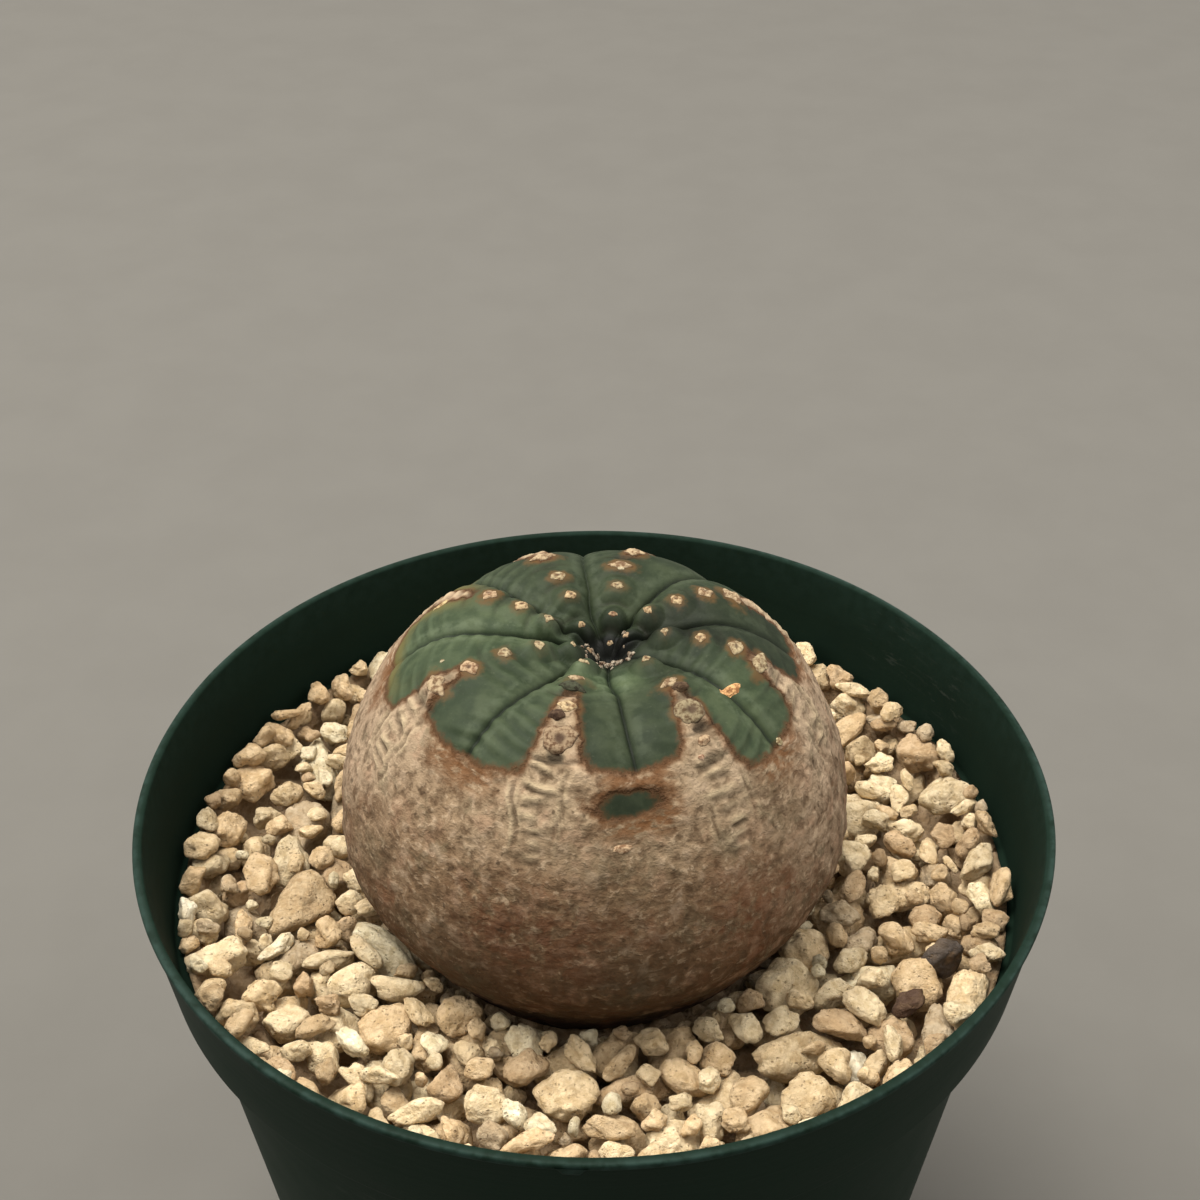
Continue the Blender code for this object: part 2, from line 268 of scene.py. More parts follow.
# Grains and grit: how many are tried and in how many places each, from how many map cells seen they are fine
# or plain, how deep they sink, and how large they are
GRAIN_SEED = 7
GRAIN_TRIES = 1900
GRAIN_SPOTS = 80
GRAIN_SINK = 0.00030
WALL_GRAIN_START = 0.0468
GRAVEL_PIECES = 4
FINE_GRAIN_CELLS = 34
PLAIN_GRAIN_CELLS = 9
FAIR_GRAIN_CELLS = (30, 75)
GRAIN_HALF = 0.00305
GRAIN_HALF_SPREAD = 0.28
GRAIN_HALF_LIMITS = (0.0019, 0.0045)
WALL_GRAIN_SHRINK = 0.74
SPLINTER_SHARE = 0.17
GRIT_TRIES = 900
GRIT_SPOTS = 50
GRIT_HALF_SIZES = (0.0009, 0.0018)
GRIT_HEADROOM = 0.0003
GRIT_SINK = 0.0001
WALL_GRIT_GROWTH = 1.25

# The two forms of grain: its length, and the ranges of its width and depth, as shares of its size
SPLINTER = (1.30, (0.52, 0.68), (0.48, 0.64))
CHUNK = (1.0, (0.68, 0.92), (0.58, 0.82))
GRAIN_TINTS = (
    (0.86, 0.685, 0.440),
    (0.77, 0.590, 0.372),
    (0.92, 0.770, 0.520),
    (0.66, 0.490, 0.310),
    (0.61, 0.495, 0.345),
    (0.97, 0.865, 0.620),
)
GRAIN_TINT_SHARES = (0.28, 0.22, 0.24, 0.10, 0.08, 0.08)

# Grains that stand out from the rest: where they lie, and their colour
ODD_GRAINS = (
    ((0.0360, -0.0190), (0.100, 0.062, 0.045)),
    ((-0.0475, -0.0100), (1.00, 0.93, 0.74)),
    ((-0.0405, -0.0135), (1.00, 0.90, 0.67)),
    ((-0.0250, -0.0260), (1.00, 0.90, 0.66)),
    ((-0.0070, -0.0330), (0.98, 0.90, 0.68)),
    ((0.0300, -0.0270), (0.98, 0.92, 0.74)),
    ((0.0470, -0.0075), (0.98, 0.86, 0.60)),
)

# The large dark grain at the right, laid last: its form, its longest half and how deep it lies in the others
DARK_GRAIN = 40
DARK_GRAIN_PLACE = (0.0406, -0.0156)
DARK_GRAIN_HALF = 0.0031
DARK_GRAIN_SINK = 0.0022
DARK_GRAIN_TINT = (0.095, 0.080, 0.072)

# Places on the pot where it is scuffed, in millimetres, and how far each scuffed patch reaches
SCUFFED_PLACES = (((40.0, 33.0, 87.0), 8.0), ((46.5, 24.0, 86.0), 7.0), ((-24.0, -43.0, 66.0), 9.0))

# Stains in the cork: the middle in millimetres, how far it reaches, its strength and its colour
CORK_STAINS = (
    ((-8.4, -28.0, 95.7), 12.0, 0.80, (0.105, 0.042, 0.020)),
    ((16.6, -24.1, 95.7), 10.5, 0.80, (0.135, 0.056, 0.027)),
    ((-0.9, -29.2, 95.8), 8.0, 0.65, (0.115, 0.050, 0.025)),
    ((-15.3, -25.4, 86.9), 10.0, 0.75, (0.066, 0.052, 0.031)),
    ((3.7, -29.5, 87.3), 10.5, 0.72, (0.052, 0.042, 0.026)),
    ((19.6, -16.4, 104.5), 8.0, 0.65, (0.110, 0.075, 0.042)),
    ((-25.6, -14.0, 96.2), 8.5, 0.60, (0.120, 0.078, 0.042)),
    ((2.8, -25.4, 104.4), 9.0, 0.55, (0.130, 0.105, 0.066)),
)

# How much of red, green and blue the whole skin keeps, and its green part besides
SKIN_SHADE = (0.80, 0.78, 0.70)
GREEN_SHADE = (0.955, 1.03, 1.01)

# The camera, as the photograph was taken, and the lights: place, size, power and colour
CAMERA_PLACE = (0.00069, -0.15997, POT_HEIGHT + 0.14531)
CAMERA_TILT = 53.574
CAMERA_LENS = 54.0
CAMERA_SENSOR = 36.0
CAMERA_NEAR = 0.01
LIT_POINT = (0.0, 0.0, 0.08)
LIGHTS = {
    "ceiling": ((-0.50, 0.34, 2.15), 1.25, 80.0, (1.0, 0.975, 0.93)),
    "left": ((-0.90, 0.05, 0.60), 0.80, 6.4, (1.0, 0.98, 0.95)),
    "right": ((0.90, 0.05, 0.60), 0.80, 5.4, (1.0, 0.98, 0.95)),
}
SKY_COLOUR = (1.0, 0.98, 0.96, 1.0)
SKY_STRENGTH = 0.86
FLOOR_HALF = 3.0


# Numbers and noise

def smooth_step(low, high, value):
    """0 below low, 1 above high, with a smooth rise between them."""
    share = np.clip((value - low) / (high - low), 0.0, 1.0)
    return share * share * (3.0 - 2.0 * share)


def bell(value, width, power=2):
    """1 where a value is 0, falling away on both sides. A power of 4 gives a flatter top."""
    return np.exp(-((value / width) ** power))


def smooth_max(first, second, blend):
    """The greater of two values, with the corner between them rounded."""
    near = np.maximum(blend - np.abs(first - second), 0.0) / blend
    return np.maximum(first, second) + 0.25 * blend * near**2


def lattice_noise(points, size, seed):
    """Smooth noise from -1 to 1, in lumps about size across."""
    period = 16
    lattice = np.random.default_rng(seed).uniform(-1.0, 1.0, (period, period, period))
    place = points / size
    cell = np.floor(place).astype(int)
    part = place - cell
    part = part * part * (3.0 - 2.0 * part)
    total = np.zeros(len(points))
    for corner in np.ndindex(2, 2, 2):
        weight = np.prod(np.where(np.array(corner) == 1, part, 1.0 - part), axis=1)
        x, y, z = ((cell + corner) % period).T
        total += weight * lattice[x, y, z]
    return total


def layered_noise(points, size, seed, layers=3):
    """Noise from -1 to 1 with finer layers added, each half as strong as the one before."""
    strengths = 0.5 ** np.arange(layers)
    total = np.zeros(len(points))
    for layer, strength in enumerate(strengths):
        total += strength * lattice_noise(points, size / 2.0**layer, seed + layer)
    return total / LAYERED_REACH


def random_lumps(draw, points, layers=1):
    """Noise on the points of a shape about 1 across, new with each call."""
    places = points + draw.uniform(0.0, 9.0, 3)
    seed = int(draw.integers(1000))
    return lattice_noise(places, 0.5, seed) if layers == 1 else layered_noise(places, 0.5, seed, layers)


def turn_between(azimuth, middle):
    """The turn from the middle to an azimuth, both in degrees, the short way round and in radians."""
    return np.radians((azimuth - middle + 180.0) % 360.0 - 180.0)


def facing(azimuth, middle, low, high):
    """1 on the side of the stem that faces the middle azimuth, 0 on the other, by the turn's cosine."""
    return smooth_step(low, high, np.cos(turn_between(azimuth, middle)))


# Mesh making

def around(radius, angle, height):
    """Points at a radius from the Z axis, an angle in radians round it and a height."""
    places = np.broadcast_arrays(radius * np.cos(angle), radius * np.sin(angle), height)
    return np.stack(places, axis=-1)


def grid_faces(rings, segments, wrap=False):
    """Quads between rings of points, each ring going round once. With wrap, the last ring joins the first."""
    ring = np.arange(rings if wrap else rings - 1)[:, None]
    segment = np.arange(segments)[None, :]
    below = (ring + 1) % rings
    after = (segment + 1) % segments
    corners = (
        ring * segments + segment,
        below * segments + segment,
        below * segments + after,
        ring * segments + after,
    )
    return np.stack(corners, axis=-1).reshape(-1, 4)


def capped_faces(rings, segments):
    """Faces of rings closed by a pole at each end. The two poles are the points after the rings."""
    here = np.arange(segments)
    after = (here + 1) % segments
    first_pole = np.full(segments, rings * segments)
    last_ring = (rings - 1) * segments
    first_cap = np.stack((first_pole, here, after), axis=-1)
    last_cap = np.stack((first_pole + 1, last_ring + after, last_ring + here), axis=-1)
    return [*grid_faces(rings, segments).tolist(), *first_cap.tolist(), *last_cap.tolist()]


def new_object(name, data):
    """An object that shows the data given, put in the scene."""
    made = bpy.data.objects.new(name, data)
    bpy.context.scene.collection.objects.link(made)
    return made


def add_piece(name, points, faces, material, slot, *nodes):
    """A smooth mesh that rides on the part, takes the material given and stands for the nodes named. Its slot
    is not used.
    """
    mesh = bpy.data.meshes.new(name)
    mesh.from_pydata(np.asarray(points).tolist(), [], faces)
    mesh.validate()
    mesh.materials.append(material)
    mesh.shade_smooth()
    piece = new_object(name, mesh)
    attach(piece, "root")
    if nodes:
        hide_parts(*nodes)
    return piece


def add_values(piece, **values):
    """Give a piece's points named numbers, for its material to read."""
    for name, numbers in values.items():
        attribute = piece.data.attributes.new(name, "FLOAT", "POINT")
        attribute.data.foreach_set("value", np.asarray(numbers, dtype=np.float32))


def add_tints(piece, tints):
    """Give a piece's points a tint each, for its material to read."""
    attribute = piece.data.attributes.new("tint", "FLOAT_COLOR", "POINT")
    rows = np.column_stack([tints, np.ones(len(tints))])
    attribute.data.foreach_set("color", rows.astype(np.float32).ravel())


def ball(count):
    """Points and triangles of a ball of radius 1, with count points spread evenly over it."""
    index = np.arange(count)
    height = 1.0 - (2.0 * index + 1.0) / count
    flat = np.sqrt(1.0 - height**2)
    points = around(flat, index * math.pi * (3.0 - math.sqrt(5.0)), height)
    bm = bmesh.new()
    for point in points:
        bm.verts.new(point)
    bm.verts.index_update()
    bmesh.ops.convex_hull(bm, input=bm.verts)
    faces = np.array([[vertex.index for vertex in face.verts] for face in bm.faces])
    bm.free()
    return points, faces


class Heap:
    """Small shapes, each on the same ball's points, that are gathered into one piece."""

    def __init__(self, count):
        self.template, self.faces = ball(count)
        self.shapes = []
        self.tints = []
        self.hollows = []

    def add(self, shape, tint, hollow=0.0):
        """Add a shape with its tint and how hollow each of its points lies."""
        self.shapes.append(shape)
        self.tints.append(np.tile(tint, (len(shape), 1)))
        self.hollows.append(np.broadcast_to(hollow, len(shape)))

    def piece(self, name, material, slot, *nodes, mirrored=False):
        """The piece that all the shapes make. Mirrored shapes get their faces turned outward again."""
        count = len(self.template)
        faces = self.faces[:, ::-1] if mirrored else self.faces
        joined = np.concatenate([faces + index * count for index in range(len(self.shapes))])
        made = add_piece(name, np.concatenate(self.shapes), joined.tolist(), material, slot, *nodes)
        add_values(made, hollow=np.concatenate(self.hollows))
        add_tints(made, np.concatenate(self.tints))
        return made


# Materials

class Shader:
    """A node material in the making. Each method adds a node and gives back its output."""

    def __init__(self, name):
        self.material = bpy.data.materials.new(name)
        self.material.use_nodes = True
        self.tree = self.material.node_tree
        self.surface = self.tree.nodes["Principled BSDF"]

    def set(self, socket, value):
        """Feed a socket with a number, a colour or another node's output."""
        if isinstance(value, bpy.types.NodeSocket):
            self.tree.links.new(value, socket)
        elif isinstance(value, tuple) and socket.type == "RGBA":
            socket.default_value = (*value, 1.0)
        else:
            socket.default_value = value

    def node(self, kind, inputs, output=0, **settings):
        node = self.tree.nodes.new(f"ShaderNode{kind}")
        for name, value in settings.items():
            setattr(node, name, value)
        for name, value in inputs.items():
            self.set(node.inputs[name], value)
        return node.outputs[output]

    def math(self, operation, first, second=0.0):
        return self.node("Math", {0: first, 1: second}, operation=operation)

    def times(self, first, second):
        return self.math("MULTIPLY", first, second)

    def millimetres(self, stretch=(1.0, 1.0, 1.0)):
        """The point's place on the object in millimetres, stretched along each axis."""
        place = self.node("TexCoord", {}, "Object")
        scale = tuple(1000.0 * value for value in stretch)
        return self.node("VectorMath", {0: place, 1: scale}, operation="MULTIPLY")

    def value(self, name):
        """One of the piece's named numbers."""
        return self.node("Attribute", {}, "Fac", attribute_name=name)

    def noise(self, place, size, detail=3.0, roughness=0.5):
        """Noise around 0.5 in lumps about size across."""
        inputs = {"Vector": place, "Scale": 1.0 / size, "Detail": detail, "Roughness": roughness}
        return self.node("TexNoise", inputs, "Fac")

    def cells(self, place, size):
        """The distance to the nearest of scattered points about size apart."""
        return self.node("TexVoronoi", {"Vector": place, "Scale": 1.0 / size}, "Distance", feature="F1")

    def warped(self, place, size, reach):
        """A place pushed about by noise, which makes what is drawn there less regular."""
        push = self.node("TexNoise", {"Vector": place, "Scale": 1.0 / size, "Detail": 2.0}, "Color")
        push = self.node("VectorMath", {0: push, 1: (0.5, 0.5, 0.5)}, operation="SUBTRACT")
        push = self.node("VectorMath", {0: push, "Scale": reach}, operation="SCALE")
        return self.node("VectorMath", {0: place, 1: push}, operation="ADD")

    def near(self, place, middle, reach):
        """1 at a place in millimetres, falling to 0 at reach from it."""
        off = self.node("VectorMath", {0: place, 1: middle}, "Value", operation="DISTANCE")
        return self.rise(off, reach, 0.0)

    def rise(self, value, low, high):
        """0 where a value is below low and 1 above high. With low over high it falls instead."""
        if low > high:
            return self.math("SUBTRACT", 1.0, self.rise(value, high, low))
        inputs = {"Value": value, "From Min": low, "From Max": high}
        return self.node("MapRange", inputs, interpolation_type="SMOOTHSTEP")

    def band(self, value, middle, half_width):
        """1 where a value is at the middle, falling to 0 at half_width on either side."""
        off = self.math("ABSOLUTE", self.math("SUBTRACT", value, middle))
        return self.rise(off, half_width, 0.0)

    def mix(self, share, first, second, way="MIX"):
        inputs = {0: share, 6: first, 7: second}
        return self.node("Mix", inputs, 2, data_type="RGBA", blend_type=way, clamp_result=False)

    def tinted(self, colour, tint):
        return self.mix(1.0, colour, tint, "MULTIPLY")

    def paint(self, colour, *layers):
        """A colour with layers over it, each given by where it lies from 0 to 1, its most and its tint."""
        for where, most, tint in layers:
            colour = self.mix(self.times(where, most), colour, tint)
        return colour

    def bump(self, height, depth, strength=1.0, before=None):
        """The normal bent by a height from 0 to 1 that stands for a depth in metres."""
        inputs = {"Strength": strength, "Distance": depth, "Height": height}
        if before is not None:
            inputs["Normal"] = before
        return self.node("Bump", inputs)

    def finish(self, colour, roughness, normal=None, specular=0.5):
        self.set(self.surface.inputs["Base Color"], colour)
        self.set(self.surface.inputs["Roughness"], roughness)
        self.surface.inputs["Specular IOR Level"].default_value = specular
        if normal is not None:
            self.set(self.surface.inputs["Normal"], normal)
        return self.material


def pot_scuffs(shader, place):
    """Level scratches in the scuffed places."""
    scratch_place = shader.warped(shader.millimetres((0.22, 0.22, 1.0)), 6.0, 3.0)
    scratch = shader.noise(scratch_place, 0.8, 4.0, 0.7)
    scuffed, *others = [shader.near(place, middle, reach) for middle, reach in SCUFFED_PLACES]
    for patch in others:
        scuffed = shader.math("MAXIMUM", scuffed, patch)
    return shader.times(shader.rise(scratch, 0.55, 0.64), scuffed)


def plastic_material():
    """Dark green moulded plastic with a soft gloss, a painted highlight along the lip, dust and scuffs."""
    shader = Shader("dark_green_plastic")
    place = shader.millimetres()
    cloud = shader.noise(place, 9.0)
    # noise that breaks up the painted highlight along the lip
    wear = shader.rise(shader.noise(place, 1.6, 5.0, 0.6), 0.30, 0.66)
    dust = shader.rise(shader.noise(place, 1.4, 6.0, 0.7), 0.62, 0.82)
    colour = shader.paint(
        shader.mix(cloud, (0.0036, 0.0094, 0.0056), (0.0058, 0.0144, 0.0086)),
        (pot_scuffs(shader, place), 0.40, (0.040, 0.046, 0.038)),
        # painted highlight along the lip
        (shader.times(shader.value("edge_wear"), wear), 0.80, (0.017, 0.034, 0.027)),
        (dust, 0.05, (0.14, 0.12, 0.09)),
    )
    roughness = shader.math("ADD", 0.48, shader.times(cloud, 0.16))
    roughness = shader.math("ADD", roughness, shader.times(shader.value("inside"), 0.30))
    rings = shader.noise(shader.millimetres((0.02, 0.02, 1.0)), 1.1, 2.0)
    normal = shader.bump(rings, 0.00005, 0.5)
    normal = shader.bump(shader.noise(place, 0.35, 2.0), 0.00002, 0.6, normal)
    return shader.finish(colour, roughness, normal, specular=0.06)


def skin_green(shader, place):
    """Grey-green skin with bloom and faint folds across the ribs, with painted light on the folds' crests and
    painted shade in their troughs, painted shade along the furrows and on the young domes, darker towards the
    tip, and painted shade in the tip's hollow.
    """
    from_tip = shader.value("from_tip")
    from_furrow = shader.value("from_furrow")
    band = shader.value("band")
    bloom = shader.rise(shader.noise(place, 2.8, 5.0, 0.62), 0.34, 0.68)
    patches = shader.rise(shader.noise(place, 1.5, 4.0, 0.6), 0.42, 0.60)
    speckle = shader.rise(shader.noise(place, 0.45, 3.0, 0.7), 0.60, 0.74)
    return shader.paint(
        shader.mix(bloom, (0.028, 0.040, 0.020), (0.056, 0.070, 0.038)),
        # painted light on the folds' raised crests, painted shade in their troughs
        (shader.rise(band, 0.0, 1.0), 0.34, (0.088, 0.108, 0.066)),
        (shader.rise(band, -0.2, -1.0), 0.34, (0.017, 0.026, 0.014)),
        (shader.rise(from_furrow, 2.4, 4.8), 0.30, (0.022, 0.033, 0.018)),
        (shader.times(shader.band(from_furrow, 1.3, 1.1), patches), 0.46, (0.092, 0.110, 0.072)),
        (speckle, 0.34, (0.115, 0.128, 0.088)),
        # painted shade along the furrows: a soft band, then a dark line in the crease
        (shader.rise(from_furrow, 0.7, 0.1), 0.32, (0.012, 0.019, 0.010)),
        (shader.rise(from_furrow, 0.32, 0.06), 0.68, (0.006, 0.009, 0.006)),
        (shader.rise(from_tip, 8.0, 3.2), 0.46, (0.014, 0.021, 0.012)),
        # painted shade on the young domes, most on the side towards the tip
        (shader.value("under"), 0.46, (0.008, 0.011, 0.006)),
        # painted shade in the hollow of the growing tip
        (shader.rise(from_tip, 4.1, 2.2), 0.92, (0.004, 0.004, 0.003)),
    )


def cork_heights(shader, place):
    """Blotches and flecks of the cork, each from 0 to 1, and its height."""
    blotch = shader.noise(shader.warped(place, 3.2, 1.8), 1.9, 4.0, 0.56)
    across = shader.warped(shader.millimetres((0.85, 0.85, 1.25)), 1.8, 1.1)
    fleck = shader.noise(across, 0.95, 4.0, 0.60)
    return blotch, fleck, shader.math("ADD", shader.times(blotch, 0.55), shader.times(fleck, 0.45))


def cork_stains(shader, place, age_and_shade):
    """Layers of ragged stains over the cork: weak red ones all round, then the placed ones."""
    ragged = shader.rise(shader.noise(shader.warped(place, 3.0, 2.0), 1.9, 5.0, 0.66), 0.38, 0.58)
    red = shader.rise(shader.noise(place, 5.2, 4.0, 0.6), 0.50, 0.66)
    red = shader.times(red, shader.times(shader.rise(age_and_shade, 28.0, 40.0), ragged))
    layers = [(red, 0.58, (0.125, 0.048, 0.021))]
    for middle, reach, most, tint in CORK_STAINS:
        layers.append((shader.times(shader.near(place, middle, reach), ragged), most, tint))
    return layers


def skin_cork(shader, place):
    """Cork: pale and pinkish above, paler at the sides from bleaching and painted light, redder and darker
    towards the base with age and painted shade near the gravel, blotched and flecked, with painted light on
    raised flakes and painted shade in hollows and pits.
    """
    blotch, fleck, _ = cork_heights(shader, place)
    age_and_shade = shader.math("ADD", shader.value("from_tip"), shader.times(shader.noise(place, 7.0), 16.0))
    age_and_shade = shader.math("SUBTRACT", age_and_shade, 8.0)
    colour = shader.mix(shader.rise(age_and_shade, 23.0, 36.0), (0.318, 0.236, 0.162), (0.205, 0.134, 0.082))
    # darker towards the base: older cork, with painted shade near the gravel
    colour = shader.mix(shader.rise(age_and_shade, 36.0, 50.0), colour, (0.079, 0.040, 0.018))
    colour = shader.mix(shader.rise(age_and_shade, 50.0, 60.0), colour, (0.032, 0.018, 0.009))
    cloud = shader.noise(shader.warped(place, 6.0, 5.0), 4.0, 5.0, 0.62)
    brown = shader.times(shader.rise(cloud, 0.46, 0.34), shader.rise(age_and_shade, 24.0, 34.0))
    pink = shader.rise(shader.noise(shader.warped(place, 4.0, 3.0), 3.1, 4.0), 0.53, 0.66)
    pale = shader.times(shader.rise(blotch, 0.52, 0.68), shader.rise(age_and_shade, 60.0, 34.0))
    bright = shader.times(shader.rise(fleck, 0.54, 0.68), shader.rise(age_and_shade, 64.0, 32.0))
    pits = shader.rise(shader.noise(shader.warped(place, 1.5, 1.0), 1.5, 2.0), 0.34, 0.25)
    streaks = shader.noise(shader.millimetres((0.5, 0.5, 1.8)), 1.0, 5.0, 0.6)
    return shader.paint(
        colour,
        # paler at the sides and back: bleached cork, with painted light
        (shader.times(shader.value("bleach_and_side_light"), shader.rise(age_and_shade, 52.0, 34.0)), 0.55, (0.385, 0.293, 0.222)),
        (shader.rise(cloud, 0.54, 0.66), 0.55, (0.110, 0.090, 0.056)),
        (brown, 0.60, (0.105, 0.058, 0.031)),
        (pink, 0.38, (0.360, 0.225, 0.155)),
        # darker in the low blotches and flecks, paler on the raised ones: cork flakes, with painted shade in
        # the hollows and painted light on the raised flakes
        (shader.rise(blotch, 0.50, 0.36), 0.62, (0.078, 0.046, 0.026)),
        (pale, 0.50, (0.420, 0.318, 0.236)),
        (shader.rise(fleck, 0.47, 0.33), 0.52, (0.074, 0.041, 0.021)),
        (bright, 0.46, (0.520, 0.400, 0.290)),
        *cork_stains(shader, place, age_and_shade),
        # painted shade in small pits
        (pits, 0.70, (0.050, 0.030, 0.017)),
        (shader.times(shader.value("rust"), shader.rise(streaks, 0.34, 0.54)), 0.85, (0.135, 0.058, 0.022)),
        (shader.value("ridge"), 0.90, (0.520, 0.420, 0.290)),
        (shader.value("crack"), 0.88, (0.040, 0.025, 0.014)),
    )


def skin_material():
    """The stem's skin: green above, cork below, a rusty border between them, brown round the scars, and
    painted shade in the tubercles' pits and folds.
    """
    shader = Shader("stem_skin")
    place = shader.millimetres()
    fray = shader.times(shader.math("SUBTRACT", shader.noise(place, 1.1, 5.0, 0.65), 0.5), 1.9)
    into_cork = shader.math("ADD", shader.value("into_cork"), fray)
    is_cork = shader.rise(into_cork, -0.22, 0.30)
    near_scar = shader.rise(shader.math("ADD", shader.value("from_scar"), fray), 0.75, -0.1)
    halo = shader.times(near_scar, shader.rise(shader.value("from_tip"), 5.0, 14.0))
    olive = shader.times(shader.rise(into_cork, -3.2, -0.6), shader.value("sunburn"))
    green = shader.tinted(shader.tinted(skin_green(shader, place), shader.value("tone")), GREEN_SHADE)
    green = shader.mix(olive, green, (0.110, 0.098, 0.036))
    green = shader.paint(green, (halo, 0.80, (0.105, 0.056, 0.020)))
    colour = shader.paint(
        shader.mix(is_cork, green, skin_cork(shader, place)),
        (shader.band(into_cork, 0.1, 0.85), 0.85, (0.090, 0.038, 0.014)),
        # painted shade in the tubercles' pits and folds
        (shader.value("dark"), 0.88, (0.012, 0.008, 0.005)),
    )
    roughness = shader.math("ADD", 0.58, shader.times(is_cork, 0.30))
    _, _, heights = cork_heights(shader, place)
    normal = shader.bump(shader.times(heights, is_cork), 0.00090, 0.80)
    normal = shader.bump(shader.noise(place, 0.22, 4.0, 0.7), 0.00005, 0.5, normal)
    return shader.finish(shader.tinted(colour, SKIN_SHADE), roughness, normal, specular=0.11)


def piece_tint(shader):
    """The tint that each small shape has of its own."""
    return shader.node("Attribute", {}, "Color", attribute_name="tint")


def scar_material():
    """Dry pale wood of the flower scars, brown round its foot, with painted shade in its hollows."""
    shader = Shader("scar_wood")
    place = shader.millimetres()
    mottle = shader.rise(shader.noise(place, 0.55, 5.0, 0.65), 0.38, 0.60)
    wood = shader.mix(mottle, (0.148, 0.085, 0.049), (0.410, 0.315, 0.223))
    # brown round the scar's foot, painted shade in its hollows
    hollow = shader.rise(shader.value("hollow"), 0.10, 0.60)
    colour = shader.paint(shader.tinted(wood, piece_tint(shader)), (hollow, 0.90, (0.050, 0.028, 0.016)))
    normal = shader.bump(shader.noise(place, 0.3, 4.0, 0.65), 0.00014, 0.8)
    return shader.finish(colour, 0.85, normal, specular=0.2)


def pumice_material():
    """Rough pumice: each grain has its own cream or tan, with stains, and painted shade in its pores and
    hollows.
    """
    shader = Shader("pumice")
    place = shader.millimetres()
    cloud = shader.rise(shader.noise(place, 1.3, 5.0, 0.65), 0.30, 0.68)
    shades = shader.mix(cloud, (0.72, 0.64, 0.52), (1.08, 1.06, 1.02))
    pores = shader.rise(shader.cells(shader.warped(place, 0.8, 0.5), 0.55), 0.34, 0.10)
    pores = shader.times(pores, shader.rise(shader.noise(place, 1.0), 0.44, 0.58))
    colour = shader.paint(
        shader.tinted(piece_tint(shader), shades),
        (shader.rise(shader.noise(place, 2.6, 4.0), 0.56, 0.72), 0.30, (0.52, 0.31, 0.13)),
        # painted shade in the pores, and in the grains' dents and clefts
        (pores, 0.50, (0.20, 0.13, 0.07)),
        (shader.value("hollow"), 0.32, (0.28, 0.185, 0.10)),
    )
    rough = shader.noise(shader.warped(place, 1.2, 0.8), 0.85, 6.0, 0.70)
    height = shader.math("SUBTRACT", rough, shader.times(pores, 0.30))
    return shader.finish(colour, 0.94, shader.bump(height, 0.00095, 0.90), specular=0.12)


def soil_material():
    """Dark potting mix with bark and perlite crumbs."""
    shader = Shader("potting_mix_soil")
    place = shader.millimetres()
    clods = shader.noise(place, 2.2, 6.0, 0.7)
    earth = shader.mix(shader.rise(clods, 0.30, 0.70), (0.022, 0.014, 0.009), (0.110, 0.072, 0.045))
    crumbs = shader.rise(shader.cells(place, 2.6), 0.22, 0.14)
    colour = shader.paint(earth, (crumbs, 0.70, (0.42, 0.38, 0.32)))
    return shader.finish(colour, 0.95, shader.bump(clods, 0.0008, 0.9), specular=0.15)


def floor_material():
    """A plain pale matt floor."""
    shader = Shader("floor")
    cloud = shader.rise(shader.noise(shader.millimetres(), 24.0, 5.0, 0.6), 0.3, 0.7)
    colour = shader.mix(cloud, (0.116, 0.110, 0.0975), (0.121, 0.115, 0.102))
    return shader.finish(colour, 0.95, specular=0.1)


# Pot

def body_radius(height):
    """Outer radius of the pot's tapered body at a height."""
    return LEDGE_RADIUS - BODY_TAPER * (POT_HEIGHT - BAND_HEIGHT - height)


def band_radius(height):
    """Outer radius of the band under the rim at a height."""
    return RIM_RADIUS - BAND_SLOPE * (POT_HEIGHT - height)


def pot_corners():
    """Corners of the pot's wall as (radius, height, rounding), from the middle of the floor inside, up the
    inner wall, over the rim, down the outer wall and back to the middle underneath."""
    ledge = POT_HEIGHT - BAND_HEIGHT
    floor = FOOT_HEIGHT + WALL
    foot = body_radius(0.0)
    bead = POT_HEIGHT - BEAD_DEPTH
    return [
        (body_radius(floor) - WALL, floor, BASE_FILLET),
        (body_radius(ledge) - WALL, ledge - LEDGE_DROP + EDGE_ROUNDING, EDGE_ROUNDING),
        (BAND_BOTTOM_RADIUS - WALL, ledge + EDGE_ROUNDING, EDGE_ROUNDING),
        (RIM_RADIUS - WALL, POT_HEIGHT, 0.8 * EDGE_ROUNDING),
        (RIM_RADIUS, POT_HEIGHT, EDGE_ROUNDING),
        (RIM_RADIUS - 0.3 * BAND_SLOPE * BEAD_DEPTH, bead, 0.5 * EDGE_ROUNDING),
        (RIM_RADIUS - BAND_SLOPE * BEAD_DEPTH - BEAD_STAND, bead - BEAD_STAND, 0.5 * EDGE_ROUNDING),
        (BAND_BOTTOM_RADIUS, ledge, EDGE_ROUNDING),
        (body_radius(ledge), ledge - LEDGE_DROP, EDGE_ROUNDING),
        (foot, 0.0, EDGE_ROUNDING),
        (foot - FOOT_WIDTH, 0.0, EDGE_ROUNDING),
        (foot - FOOT_WIDTH - EDGE_ROUNDING, FOOT_HEIGHT, EDGE_ROUNDING),
    ]


def rounded_corner(before, corner, after, reach, steps=5):
    """Points of a curve that rounds a corner off, starting and ending at reach from it."""
    corner = np.array(corner)
    to_before = np.array(before) - corner
    to_after = np.array(after) - corner
    start = corner + to_before * min(reach / np.hypot(*to_before), 0.45)
    end = corner + to_after * min(reach / np.hypot(*to_after), 0.45)
    share = np.linspace(0.0, 1.0, steps)[:, None]
    return (1.0 - share) ** 2 * start + 2.0 * share * (1.0 - share) * corner + share**2 * end


